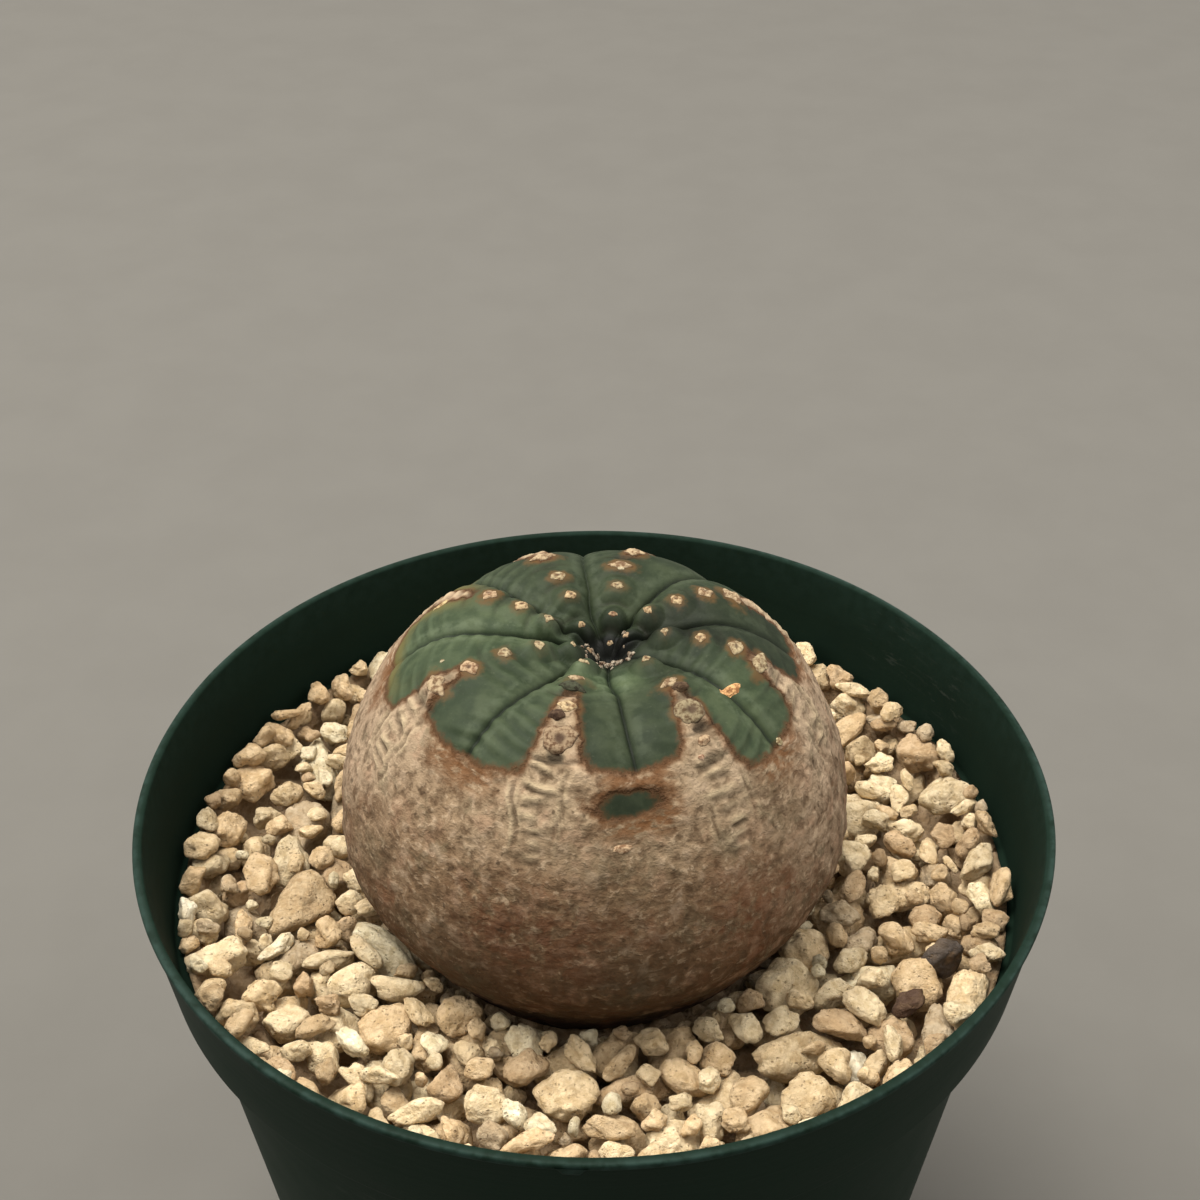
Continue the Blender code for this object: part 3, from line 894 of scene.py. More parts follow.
def divided(points, longest):
    """The same outline with points added so that no step is longer than longest."""
    result = [points[0]]
    for before, after in zip(points, points[1:]):
        steps = max(1, math.ceil(np.hypot(*(after - before)) / longest))
        for step in range(1, steps + 1):
            result.append(before + (after - before) * step / steps)
    return np.array(result)


def pot_outline():
    """The pot's wall with rounded corners, as (radius, height) rows that start and end beside the axis."""
    corners = pot_corners()
    floor, underside = corners[0][1], corners[-1][1]
    places = [(0.0, floor), *[corner[:2] for corner in corners], (0.0, underside)]
    rows = [[(POT_POLE_RING, floor)]]
    for index, (_, _, reach) in enumerate(corners):
        rows.append(rounded_corner(*places[index : index + 3], reach))
    rows.append([(POT_POLE_RING, underside)])
    return divided(np.concatenate(rows), POT_STEP)


def drain_cutters():
    """Pegs through the pot's base, one for each drain hole, as one object."""
    bm = bmesh.new()
    for index in range(DRAIN_HOLES):
        angle = FULL_TURN * (index + 0.5) / DRAIN_HOLES
        made = bmesh.ops.create_cone(
            bm, cap_ends=True, segments=32, radius1=DRAIN_RADIUS, radius2=DRAIN_RADIUS, depth=4.0 * WALL
        )
        place = Vector((math.cos(angle), math.sin(angle), 0.0)) * DRAIN_RING_RADIUS
        place.z = FOOT_HEIGHT + 0.5 * WALL
        bmesh.ops.translate(bm, verts=made["verts"], vec=place)
    mesh = bpy.data.meshes.new("drains")
    bm.to_mesh(mesh)
    bm.free()
    return new_object("drains", mesh)


def cut_drains(pot):
    """Open the drain holes in the pot's base."""
    cutter = drain_cutters()
    boolean = pot.modifiers.new("Drains", "BOOLEAN")
    boolean.operation = "DIFFERENCE"
    boolean.solver = "EXACT"
    boolean.object = cutter
    graph = bpy.context.evaluated_depsgraph_get()
    mesh = bpy.data.meshes.new_from_object(pot.evaluated_get(graph))
    pot.modifiers.clear()
    pot.data = mesh
    bpy.data.objects.remove(cutter)


def rim_wave(azimuth):
    """How far the rim is out of round at an azimuth in radians."""
    return POT_WAVE * (np.sin(2.0 * azimuth + 0.6) + 0.6 * np.sin(5.0 * azimuth + 2.0))


def inner_side(off, height):
    """1 on the pot's inner wall and floor, 0 elsewhere, by the distance from the axis and the height."""
    wall = np.where(height > POT_HEIGHT - BAND_HEIGHT, band_radius(height), body_radius(height))
    return (off < wall - 0.6 * WALL) & (height > FOOT_HEIGHT + 0.5 * WALL)


def lip_highlight_share(off, height):
    """How much painted highlight the lip takes: its outer edge most, the rim's top a little."""
    at_lip = smooth_step(POT_HEIGHT - 1.6 * BEAD_DEPTH, POT_HEIGHT - 0.9 * BEAD_DEPTH, height)
    outside = smooth_step(RIM_RADIUS - 0.0006, RIM_RADIUS - 0.0003, off)
    return at_lip * (0.25 + 0.75 * outside)


def make_pot(plastic):
    """The moulded pot as one turned shell, very slightly out of round, with drain holes."""
    rows = pot_outline()
    azimuth = np.linspace(0.0, FULL_TURN, POT_SEGMENTS, endpoint=False)
    height = rows[:, 1][:, None]
    radius = rows[:, 0][:, None] + rim_wave(azimuth) * smooth_step(0.3, 1.0, height / POT_HEIGHT)
    points = around(radius, azimuth, height).reshape(-1, 3)
    points = np.vstack([points, (0.0, 0.0, rows[0, 1]), (0.0, 0.0, rows[-1, 1])])
    pot = add_piece("pot_shell", points, capped_faces(len(rows), POT_SEGMENTS), plastic, "pot", "pot")
    cut_drains(pot)
    pot.data.set_sharp_from_angle(angle=math.radians(50.0))
    places = np.array([vertex.co[:] for vertex in pot.data.vertices])
    off, height = np.hypot(places[:, 0], places[:, 1]), places[:, 2]
    # the lip's painted highlight, and the inner side for rougher plastic
    add_values(pot, edge_wear=lip_highlight_share(off, height), inside=inner_side(off, height))


def make_rim_tab(plastic):
    """The small tapered tab that the mould left below the front of the lip."""
    rows = []
    for depth in (0.0, 0.3, 0.7, 0.92, 1.0):
        half = 0.5 * (TAB_TOP_WIDTH + (TAB_BOTTOM_WIDTH - TAB_TOP_WIDTH) * depth**0.7) / RIM_RADIUS
        height = POT_HEIGHT - 0.6 * BEAD_DEPTH - TAB_HEIGHT * depth
        azimuths = math.radians(TAB_AZIMUTH) + np.linspace(-half, half, TAB_STEPS)
        at_edge = (np.arange(TAB_STEPS) % (TAB_STEPS - 1) == 0) | (depth == 1.0)
        stand = np.where(at_edge, TAB_SUNK_EDGE, TAB_STAND)
        rows.append(around(band_radius(height) + rim_wave(azimuths) + stand, azimuths, height))
    corner = np.arange(TAB_STEPS - 1)
    faces = []
    for row in range(len(rows) - 1):
        here = row * TAB_STEPS + corner
        faces += np.stack([here, here + TAB_STEPS, here + TAB_STEPS + 1, here + 1], axis=-1).tolist()
    tab = add_piece("rim_tab", np.concatenate(rows), faces, plastic, "pot")
    # painted highlight over the whole tab, as on the lip
    add_values(tab, edge_wear=np.full(len(rows) * TAB_STEPS, 0.8))


# Stem

def belly_rows():
    """The ball's outline from the growing tip to its neck, as (radius, height) rows."""
    angle = np.linspace(0.0, NECK_ANGLE, OUTLINE_STEPS)
    radius = BELLY_RADIUS * np.sin(angle)
    share = np.clip(radius / CROWN_RADIUS, 0.0, 1.0)
    dip = CROWN_DIP * 0.5 * ((1.0 - share) ** 1.2 + np.cos(0.5 * math.pi * share) ** 2)
    upper = BELLY_RADIUS * np.cos(angle) - dip
    lower = UNDERSIDE_DEPTH * np.cos(angle)
    below = np.clip(-np.cos(angle), 0.0, 1.0)
    radius -= UNDERSIDE_TAPER * smooth_step(0.0, 0.45, below) * (1.0 - smooth_step(0.62, 0.87, below))
    return np.column_stack([radius, BELLY_HEIGHT + np.where(angle < 0.5 * math.pi, upper, lower)])


def root_rows(neck):
    """The root's outline below the neck, as (radius, height) rows."""
    share = np.linspace(0.0, 1.0, OUTLINE_STEPS // 5)[1:]
    return np.column_stack([neck[0] * (1.0 - share) ** ROOT_TAPER, neck[1] - ROOT_LENGTH * share])


class StemOutline:
    """The plant's outline, which gives a radius, a height and an outward direction at each distance."""

    def __init__(self):
        belly = belly_rows()
        rows = np.vstack([belly, root_rows(belly[-1])])
        steps = np.hypot(*np.diff(rows, axis=0).T)
        self.distance = np.concatenate([[0.0], np.cumsum(steps)])
        self.radius, self.height = rows.T
        self.out_radius = -np.gradient(self.height, self.distance)
        self.out_height = np.gradient(self.radius, self.distance)
        self.length = self.distance[-1]

    def at(self, distance, column):
        return np.interp(distance, self.distance, getattr(self, column))


outline = StemOutline()


def furrow_azimuths(distance):
    """The azimuth of each furrow at each distance, as one row a furrow, the first again at the end."""
    rows = [np.interp(distance, FURROW_LEVELS, rib["furrow"]) for rib in RIBS]
    return np.array([*rows, rows[0] + 360.0])


def crest_azimuths(distance, furrows):
    """The azimuth of each rib's crest at each distance: it passes through the rib's tubercles."""
    rows = []
    for index, rib in enumerate(RIBS):
        places, turns, _ = zip(*rib["tubercles"])
        before, after = furrows[index], furrows[index + 1]
        room = 0.3 * (after - before)
        rows.append(np.clip(np.interp(distance, places, turns), before + room, after - room))
    return np.array(rows)


class RibPlace:
    """Where points lie among the ribs: which rib, how far across it, and how far from furrow and crest."""

    def __init__(self, distance, azimuth, radius):
        furrows = furrow_azimuths(distance)
        crests = crest_azimuths(distance, furrows)
        turned = (azimuth - furrows[0]) % 360.0 + furrows[0]
        self.rib = np.clip((turned >= furrows[:-1]).sum(axis=0) - 1, 0, len(RIBS) - 1)
        column = np.arange(len(distance))
        before = furrows[self.rib, column]
        after = furrows[self.rib + 1, column]
        crest = crests[self.rib, column]
        turn = turned - crest
        self.across = np.where(turn < 0.0, turn / (crest - before), turn / (after - crest))
        self.from_furrow = np.radians(np.minimum(turned - before, after - turned)) * radius
        self.from_crest = np.radians(turn) * radius
        self.nearest_furrow = (self.rib + (turn > 0.0)) % len(RIBS)
        tones = np.array([rib["tone"] for rib in RIBS])
        share = smooth_step(-0.3, 0.3, self.across)
        self.tone = tones[self.rib] * (1.0 - share) + tones[(self.rib + 1) % len(RIBS)] * share


def scar_halves(distance, form):
    """Half the width and half the length of a flower scar, which grow as its tubercle ages."""
    size = SCAR_HALF + SCAR_GROWTH * distance
    return size * SCAR_FORMS[form]["across"], size * SCAR_FORMS[form]["along"]


def tubercle_room(rib, index):
    """Half the length of a tubercle, from the gaps to the ones before and after it."""
    places = [0.0, *[distance for distance, _, _ in rib["tubercles"]]]
    before = places[index + 1] - places[index]
    after = places[index + 2] - places[index + 1] if index + 2 < len(places) else before
    return float(np.clip(0.32 * (before + after), 0.0014, 0.0030))


class TubercleForms:
    """What the tubercles give the skin: relief, folds and pits that the material fills with painted shade,
    painted shade over the young domes, most on the side towards the tip, and the distance to a scar.
    """

    def __init__(self, distance, azimuth, radius):
        self.hump, self.fold, self.pit, self.under = np.zeros((4, len(distance)))
        self.from_scar = np.full(len(distance), 0.010)
        for rib in RIBS:
            for index, (middle, turn, form) in enumerate(rib["tubercles"]):
                along = distance - middle
                aside = turn_between(azimuth, turn) * radius
                near = (np.abs(along) < 0.007) & (np.abs(aside) < 0.008)
                room = tubercle_room(rib, index)
                self.add_hump(near, along[near], aside[near], middle, room)
                self.add_fold(near, along[near], aside[near], middle, room, SCAR_FORMS[form]["pit"])
                self.add_scar_reach(near, along[near], aside[near], scar_halves(middle, form))

    def add_hump(self, near, along, aside, middle, room):
        """A dome, tallest on the young tubercles of the hollow, with painted shade over the young ones, most
        on their side towards the tip.
        """
        young = 1.0 - smooth_step(0.006, 0.013, middle)
        width = 0.0019 + 0.070 * middle - 0.0005 * young
        length = room * (1.15 - 0.30 * young)
        off = np.minimum((along / length) ** 2 + (aside / width) ** 2, 1.0)
        height = (0.00044 + 0.00095 * young) * smooth_step(0.0, 0.004, middle)
        self.hump[near] = np.maximum(self.hump[near], height * (1.0 - off) ** (1.2 - 0.35 * young))
        # painted shade over the young domes, strongest on the side towards the tip
        inner = 1.0 - smooth_step(0.0052, 0.0088, middle)
        tipward = 0.5 + 0.5 * smooth_step(0.0006, -0.0006, along)
        shade = inner * tipward * (1.0 - smooth_step(0.70, 1.0, off))
        self.under[near] = np.maximum(self.under[near], shade)

    def add_fold(self, near, along, aside, middle, room, strength):
        """A bowed crease below the dome, with a pit in its middle; the material paints shade into both."""
        width = 0.0014 + 0.085 * middle
        bowed = along - room + 0.14 * aside**2 / width
        crease = bell(bowed, FOLD_WIDTH) * bell(aside, width, 4)
        self.fold[near] = np.maximum(self.fold[near], (0.35 + 0.65 * strength) * crease)
        hole = np.sqrt((aside / 0.00115) ** 2 + ((along - 0.80 * room) / 0.00062) ** 2)
        deep = strength * smooth_step(0.006, 0.010, middle)
        self.pit[near] = np.maximum(self.pit[near], deep * (1.0 - smooth_step(0.55, 1.15, hole)))

    def add_scar_reach(self, near, along, aside, halves):
        reach = np.sqrt((aside / halves[0]) ** 2 + (along / halves[1]) ** 2)
        self.from_scar[near] = np.minimum(self.from_scar[near], (reach - 1.0) * min(halves))


def depth_in_cork(distance, ribs, azimuth, radius):
    """How far a place lies inside the cork, in metres. It is below zero in the green.

    Green lobes hang down along the furrows, and a bare strip of cork climbs each crest between them."""
    lobe_ends = np.array([rib["green"] for rib in RIBS])[ribs.nearest_furrow]
    below_lobe = distance - lobe_ends + LOBE_SHOULDER * (1.0 - np.abs(ribs.across)) ** 1.3
    tops = np.array([rib["bare"] for rib in RIBS])[ribs.rib]
    half_width = BARE_HALF_WIDTH + BARE_SPREAD * np.maximum(distance - tops, 0.0)
    in_strip = np.minimum(half_width - np.abs(ribs.from_crest), distance - tops)
    depth = smooth_max(below_lobe, in_strip, LOBE_BLEND)
    return np.minimum(depth, patch_depth(distance, azimuth, radius))


def patch_depth(distance, azimuth, radius):
    """The same for the small green patch left in the cork below the front furrow."""
    aside = turn_between(azimuth, PATCH_AZIMUTH) * radius / PATCH_HALF_WIDTH
    along = (distance - PATCH_DISTANCE) / PATCH_HALF_LENGTH
    return (np.sqrt(aside**2 + along**2) - 1.0) * PATCH_DEPTH


class Ladder:
    """Old growth lines below each crest's last tubercle: stacked cracks, with pale ridges beside them."""

    def __init__(self, distance, azimuth, radius):
        self.distance = distance
        self.crack, self.ridge = np.zeros((2, len(distance)))
        draw = np.random.default_rng(5)
        for rib in RIBS:
            last, crest, _ = rib["tubercles"][-1]
            aside = turn_between(azimuth, crest - draw.uniform(0.0, 3.0)) * radius
            self.add_rungs(draw, last, aside)
            for side in (-1.0, 1.0):
                self.add_rail(draw, last, aside, side)

    def add_rungs(self, draw, last, aside):
        """Short cracks across the crest, each with a ridge above it, narrower further down."""
        end = last + draw.uniform(0.012, 0.015)
        place = last + 0.0026
        while place < end:
            share = (place - last) / (end - last)
            half = (0.0026 - 0.0012 * share) * draw.uniform(0.6, 1.0)
            slant = draw.uniform(-0.2, 0.2)
            bow = draw.uniform(-30.0, 60.0)
            off = self.distance - place - slant * aside - bow * aside**2
            reach = bell(aside - draw.uniform(-0.0007, 0.0007), half, 4)
            strength = draw.uniform(0.5, 1.0) * reach
            self.crack = np.maximum(self.crack, strength * bell(off, 0.00026))
            self.ridge = np.maximum(self.ridge, strength * bell(off + 0.00062, 0.00038))
            place += draw.uniform(0.0012, 0.0021)

    def add_rail(self, draw, last, aside, side):
        """A wavering crack down one side of the crest, between two ridges."""
        lean = -side * draw.uniform(0.05, 0.16)
        start = last + draw.uniform(0.0030, 0.0055)
        half = 0.5 * draw.uniform(0.006, 0.010)
        down = self.distance - start
        sway = 0.0003 * np.sin(down / draw.uniform(0.0006, 0.0011))
        off = aside - side * draw.uniform(0.0024, 0.0031) - lean * down + sway
        reach = bell(down - half, half, 4)
        reach *= draw.uniform(0.4, 1.0)
        self.crack = np.maximum(self.crack, 0.7 * reach * bell(off, 0.00022))
        self.ridge = np.maximum(self.ridge, 0.7 * reach * bell(np.abs(off) - 0.00045, 0.00024))


class Skin:
    """The stem's skin at distances and azimuths: its points and the numbers its material reads there."""

    def __init__(self, distance, azimuth):
        self.distance = distance
        self.azimuth = azimuth
        self.radius = outline.at(distance, "radius")
        angle = np.radians(azimuth)
        self.plain = around(self.radius, angle, outline.at(distance, "height"))
        self.outward = around(outline.at(distance, "out_radius"), angle, outline.at(distance, "out_height"))
        self.ribs = RibPlace(distance, azimuth, self.radius)
        self.forms = TubercleForms(distance, azimuth, self.radius)
        self.find_cork()
        self.find_furrows()
        phase = distance - 0.30 * self.ribs.from_furrow + 0.00045 * self.noise(0.0035, 9)
        waves = np.sin(FULL_TURN * phase / BAND_SPACING)
        self.bands = waves * smooth_step(-0.5, 0.6, lattice_noise(self.plain, 0.005, 17))

    def noise(self, size, seed, layers=2):
        return layered_noise(self.plain, size, seed, layers)

    def find_cork(self):
        """How deep each place lies in the cork and how cracked it is, with edges that sway a little."""
        sway = 0.00045 * self.noise(0.0022, 61)
        swayed = self.distance + 0.00035 * self.noise(0.0019, 71)
        turned = self.azimuth + np.degrees(sway / np.maximum(self.radius, 0.004))
        self.cork = depth_in_cork(swayed, self.ribs, turned, self.radius)
        self.in_cork = smooth_step(-0.0003, 0.0009, self.cork)
        ladder = Ladder(swayed, turned, self.radius)
        broken = smooth_step(-0.70, 0.20, lattice_noise(self.plain, 0.0013, 27))
        self.crack = ladder.crack * self.in_cork * (0.35 + 0.65 * broken)
        self.ridge = ladder.ridge * self.in_cork * (0.25 + 0.75 * broken)

    def find_furrows(self):
        """How far each place is from a furrow's line, which the green patch hides and the back softens."""
        patch = patch_depth(self.distance, self.azimuth, self.radius)
        self.beyond_patch = smooth_step(0.0003, 0.0009, patch)
        back = facing(self.azimuth, 97.0, 0.70, 0.95)
        self.from_furrow = self.ribs.from_furrow + 0.0020 * (1.0 - self.beyond_patch) + 0.00017 * back

    def relief(self):
        """How far the skin stands out from the plain outline."""
        in_green = 1.0 - smooth_step(-0.0008, 0.0012, self.cork)
        rise = smooth_step(0.0, RIB_RISE_END, self.distance)
        fade = 1.0 - smooth_step(RIB_FADE_START, RIB_FADE_END, self.distance)
        relief = -RIB_DEPTH * rise * fade * np.abs(self.ribs.across) ** 4
        crease = bell(self.from_furrow + 0.00012 * self.noise(0.0016, 13), CREASE_WIDTH) * in_green
        relief -= CREASE_DEPTH * crease * smooth_step(0.001, 0.004, self.distance)
        relief += self.forms.hump * (1.0 - 0.35 * smooth_step(0.0, 0.002, self.cork))
        relief -= FOLD_DEPTH * self.forms.fold
        relief -= PIT_DEPTH * self.forms.pit
        lumps = LUMP_HEIGHT * self.noise(0.0065, 3, 3)
        relief += BAND_DEPTH * self.bands * in_green + lumps * smooth_step(0.004, 0.012, self.distance)
        relief += self.in_cork * (self.cork_roughness() + CORK_STAND)
        return relief + RIDGE_HEIGHT * self.ridge - CRACK_DEPTH * self.crack

    def cork_roughness(self):
        """Flat scales, upright fibres and blotches of the cork."""
        scales = layered_noise(self.plain * (0.60, 0.60, 1.30), 0.0011, 21)
        upright = layered_noise(self.plain * (1.4, 1.4, 0.55), 0.0013, 33)
        return SCALE_HEIGHT * scales + FIBRE_HEIGHT * upright + BLOTCH_HEIGHT * self.noise(0.0030, 45)

    def points(self):
        """The skin's points, with the crown leaning and its tip sunk."""
        relief = self.relief() * smooth_step(0.0, 0.0006, self.distance)
        points = self.plain + self.outward * relief[:, None]
        lean = 1.0 - smooth_step(0.0, CROWN_RADIUS, self.distance)
        points[:, :2] += lean[:, None] * TIP_OFFSET
        points[:, 2] -= TIP_PIT_DEPTH * bell(self.distance, TIP_PIT_REACH)
        return points

    def tone(self):
        """How light the green is: darker in the patch and inside the right, with painted light near the
        front's top.
        """
        tone = self.ribs.tone * (0.75 + 0.25 * self.beyond_patch)
        front = facing(self.azimuth, -88.0, 0.70, 0.95)
        right = facing(self.azimuth, -8.0, 0.55, 0.95)
        # painted light on the front slope below the tip
        tone = tone * (1.0 + 1.20 * front * bell(self.distance - 0.0072, 0.0028))
        return tone * (1.0 - 0.50 * right * (1.0 - smooth_step(0.010, 0.019, self.distance)))

    def marks(self):
        """The numbers that the skin's material reads, with distances in millimetres."""
        lobes = smooth_step(0.35, 0.75, np.abs(self.ribs.across))
        in_border = smooth_step(0.0, 0.0006, self.cork) * (1.0 - smooth_step(0.0012, 0.0050, self.cork))
        burnt = facing(self.azimuth, 160.0, 0.80, 0.97)
        return {
            "from_tip": self.distance / MILLIMETRE,
            "from_furrow": self.from_furrow / MILLIMETRE,
            "from_scar": self.forms.from_scar / MILLIMETRE,
            "into_cork": self.cork / MILLIMETRE,
            "band": self.bands,
            "tone": self.tone(),
            # painted shade in the tubercles' pits and folds
            "dark": np.maximum(self.forms.pit, 0.8 * self.forms.fold),
            # painted shade on the young domes
            "under": self.forms.under,
            "crack": self.crack,
            "ridge": self.ridge,
            "rust": lobes * in_border,
            # sides and back: bleached cork, with painted light
            "bleach_and_side_light": smooth_step(0.28, 0.70, np.abs(np.sin(0.5 * turn_between(self.azimuth, -94.0)))),
            "sunburn": burnt * smooth_step(0.014, 0.022, self.distance),
        }


def stem_rings():
    """Distances of the stem's rings from the growing tip."""
    crown = np.linspace(0.0, CROWN_END, CROWN_RINGS + 1)[1:]
    belly = np.linspace(CROWN_END, SIGHT_END, BELLY_RINGS + 1)[1:]
    root = np.linspace(SIGHT_END, outline.length, ROOT_RINGS + 2)[1:-1]
    return np.concatenate([crown, belly, root])


def make_stem():
    """The whole plant as one grown body: ribbed crown, corky belly and the root in the potting mix."""
    rings = stem_rings()
    azimuths = np.linspace(-180.0, 180.0, STEM_SEGMENTS, endpoint=False)
    distance = np.concatenate([np.repeat(rings, STEM_SEGMENTS), [0.0, outline.length]])
    azimuth = np.concatenate([np.tile(azimuths, len(rings)), [0.0, 0.0]])
    skin = Skin(distance, azimuth)
    faces = capped_faces(len(rings), STEM_SEGMENTS)
    stem = add_piece("stem", skin.points(), faces, skin_material(), "plant", "plant")
    add_values(stem, **skin.marks())


def laid_on_skin(shape, distance, azimuth, sink=0.0):
    """A shape laid on the skin round a place, from its sizes sideways, along the skin and outwards.

    Along the skin is away from the tip, so the shape is mirrored."""
    sideways, along, lift = shape.T
    radius = max(float(outline.at(distance, "radius")), 0.0006)
    here = Skin(np.maximum(distance + along, 0.0002), azimuth + np.degrees(sideways / radius))
    return here.points() + here.outward * (lift - sink)[:, None]


def scar_shape(draw, template, form):
    """A scar on a ball's points: a star or ring with an uneven rim, and how hollow each point lies."""
    turn = np.arctan2(template[:, 1], template[:, 0])
    power = form["point"] * draw.uniform(0.92, 1.08)
    star = (np.abs(np.cos(turn)) ** power + np.abs(np.sin(turn)) ** power) ** (-1.0 / power)
    circle = around(1.0, turn, 0.0) * 0.9 + draw.uniform(0.0, 9.0, 3)
    wobble = layered_noise(circle, 0.8, int(draw.integers(1000)), 2)
    lumps = random_lumps(draw, template, 3)
    side, down = draw.uniform(-0.12, 0.12), draw.uniform(-0.05, 0.15)
    flat = np.hypot(template[:, 0] - side, template[:, 1] - down)
    hollow = bell(flat, 0.36 + 0.16 * lumps) * (template[:, 2] > -0.2)
    shape = template.copy()
    shape[:, :2] *= (star * (1.0 + 0.42 * wobble + 0.16 * lumps))[:, None]
    shape[:, 2] *= (1.0 + 0.75 * lumps + 0.6 * wobble) * (1.0 - form["hollow"] * hollow)
    brim = 0.42 * (1.0 - smooth_step(0.10, 0.50, template[:, 2]))
    return shape, np.clip(hollow * form["hollow"] - 0.5 * np.minimum(lumps, 0.0) + brim, 0.0, 1.0)


def make_scars(wood):
    """The woody flower scars, one on each tubercle."""
    draw = np.random.default_rng(17)
    heap = Heap(SCAR_POINTS)
    for rib in RIBS:
        for distance, azimuth, form in rib["tubercles"]:
            across, along = scar_halves(distance, form)
            shape, hollow = scar_shape(draw, heap.template, SCAR_FORMS[form])
            sizes = (across, along, SCAR_THICKNESS + SCAR_SWELL * min(across, along))
            tint = SCAR_TINTS[int(draw.integers(len(SCAR_TINTS)))]
            laid = laid_on_skin(shape * sizes, distance, azimuth, SCAR_SINK)
            heap.add(laid, np.array(tint) * SCAR_FORMS[form]["light"], hollow)
    heap.piece("flower_scars", wood, "plant", mirrored=True)


def make_skin_marks(wood):
    """Scabs, dry spots and the stubs of old flower stalks."""
    draw = np.random.default_rng(29)
    heap = Heap(MARK_POINTS)
    for distance, azimuth, halves, turn, tint in SKIN_MARKS:
        lumps = random_lumps(draw, heap.template)
        shape = heap.template * halves * (1.0 + 0.28 * lumps[:, None])
        cosine, sine = math.cos(math.radians(turn)), math.sin(math.radians(turn))
        side = shape[:, 0] * cosine - shape[:, 1] * sine
        along = shape[:, 0] * sine + shape[:, 1] * cosine
        turned = np.column_stack([side, along, shape[:, 2]])
        heap.add(laid_on_skin(turned, distance, azimuth), tint)
    heap.piece("skin_marks", wood, "plant", mirrored=True)


def make_tip_crumbs(wood):
    """Woolly crumbs and dried flower bits in the hollow of the growing tip."""
    draw = np.random.default_rng(41)
    heap = Heap(CRUMB_POINTS)
    for _ in range(TIP_CRUMBS):
        distance = TIP_CRUMB_REACH * draw.uniform(0.15, 1.0)
        azimuth = draw.normal(-95.0, 60.0)
        half = draw.uniform(0.00016, 0.00040)
        shape = heap.template * (1.0 + 0.45 * random_lumps(draw, heap.template)[:, None])
        sizes = (half, half * draw.uniform(0.5, 1.0), half * draw.uniform(0.5, 1.0))
        tint = PALE_CRUMB if draw.uniform(0.0, 1.0) < 0.7 else DARK_CRUMB
        heap.add(laid_on_skin(shape * sizes, distance, azimuth, -0.3 * half), tint)
    heap.piece("tip_crumbs", wood, "plant", mirrored=True)


# Gravel: grains laid one by one on a height map, each in the lowest of several places

def grain_surface(draw, directions):
    """A grain's reach in each direction, from broken faces, dents, clefts and lumps, and how hollow it is."""
    sides = int(draw.integers(7, 11))
    planes = draw.normal(size=(sides, 3))
    planes /= np.linalg.norm(planes, axis=1)[:, None]
    offsets = draw.uniform(0.60, 1.02, sides)
    wear = draw.uniform(10.0, 22.0)
    reach = np.maximum(directions @ planes.T, 0.0) / offsets
    radius = ((reach**wear).sum(axis=1) + (1.0 / 1.12) ** wear) ** (-1.0 / wear)
    hollow = np.zeros(len(directions))
    for count, spread, depth in ((3, (0.35, 0.60), (0.06, 0.17)), (8, (0.12, 0.24), (0.04, 0.11))):
        middles = draw.normal(size=(count, 3))
        middles /= np.linalg.norm(middles, axis=1)[:, None]
        for middle in middles:
            off = np.arccos(np.clip(directions @ middle, -1.0, 1.0))
            dent = bell(off, draw.uniform(*spread)) * draw.uniform(*depth)
            radius -= dent
            hollow = np.maximum(hollow, dent / depth[1])
    shift = draw.uniform(0.0, 9.0, 3)
    seed = int(draw.integers(1000))
    cleft = bell(lattice_noise(directions + shift, 0.75, seed), 0.10)
    lumpy = draw.uniform(0.16, 0.34)
    radius *= 1.0 + lumpy * layered_noise(directions + shift, 0.58, seed + 1) - 0.08 * cleft
    return radius, np.maximum(hollow, 0.6 * cleft)


def grain_sizes(draw):
    """Half sizes of a grain, longest first. One in six is a long splinter."""
    half = draw.lognormal(math.log(GRAIN_HALF), GRAIN_HALF_SPREAD)
    longest = float(np.clip(half, *GRAIN_HALF_LIMITS))
    stretch, widths, depths = SPLINTER if draw.uniform() < SPLINTER_SHARE else CHUNK
    return np.array([stretch * longest, longest * draw.uniform(*widths), longest * draw.uniform(*depths)])


def turn_matrix(draw, tilt):
    """A random turn about Z after a random tilt of the upright axis."""
    angle = draw.uniform(0.0, FULL_TURN)
    lean = draw.normal(0.0, tilt)
    way = draw.uniform(0.0, FULL_TURN)
    x, y = math.cos(way), math.sin(way)
    cross = np.array([[0.0, 0.0, y], [0.0, 0.0, -x], [-y, x, 0.0]])
    tilted = np.eye(3) + math.sin(lean) * cross + (1.0 - math.cos(lean)) * cross @ cross
    cosine, sine = math.cos(angle), math.sin(angle)
    return tilted @ np.array([[cosine, -sine, 0.0], [sine, cosine, 0.0], [0.0, 0.0, 1.0]])


def at_wall(index):
    """Whether a grain is one of the smaller ones laid along the pot's wall."""
    return index % 4 == 3


def grain_shape(index, template):
    """One grain on a ball's points, with how hollow each lies. The same index gives the same grain."""
    draw = np.random.default_rng((GRAIN_SEED, index))
    shrink = 1.0 - 0.45 * smooth_step(0.60, 1.0, index / GRAIN_TRIES)
    if at_wall(index):
        shrink = min(shrink, WALL_GRAIN_SHRINK)
    reach, hollow = grain_surface(draw, template)
    shape = template * reach[:, None] * grain_sizes(draw) * shrink
    return shape @ turn_matrix(draw, 0.5).T, hollow


def bed_height(off):
    """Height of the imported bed's top at a distance from the pot's axis. It rises towards the wall."""
    return BED_TOP + BED_WALL_RISE * smooth_step(*BED_RISE_RADII, off)


def shelf_height(off):
    """Height of the pot's inner shelf, where the band of the rim begins."""
    return SHELF_HEIGHT + SHELF_SLOPE * (off - SHELF_RADIUS)


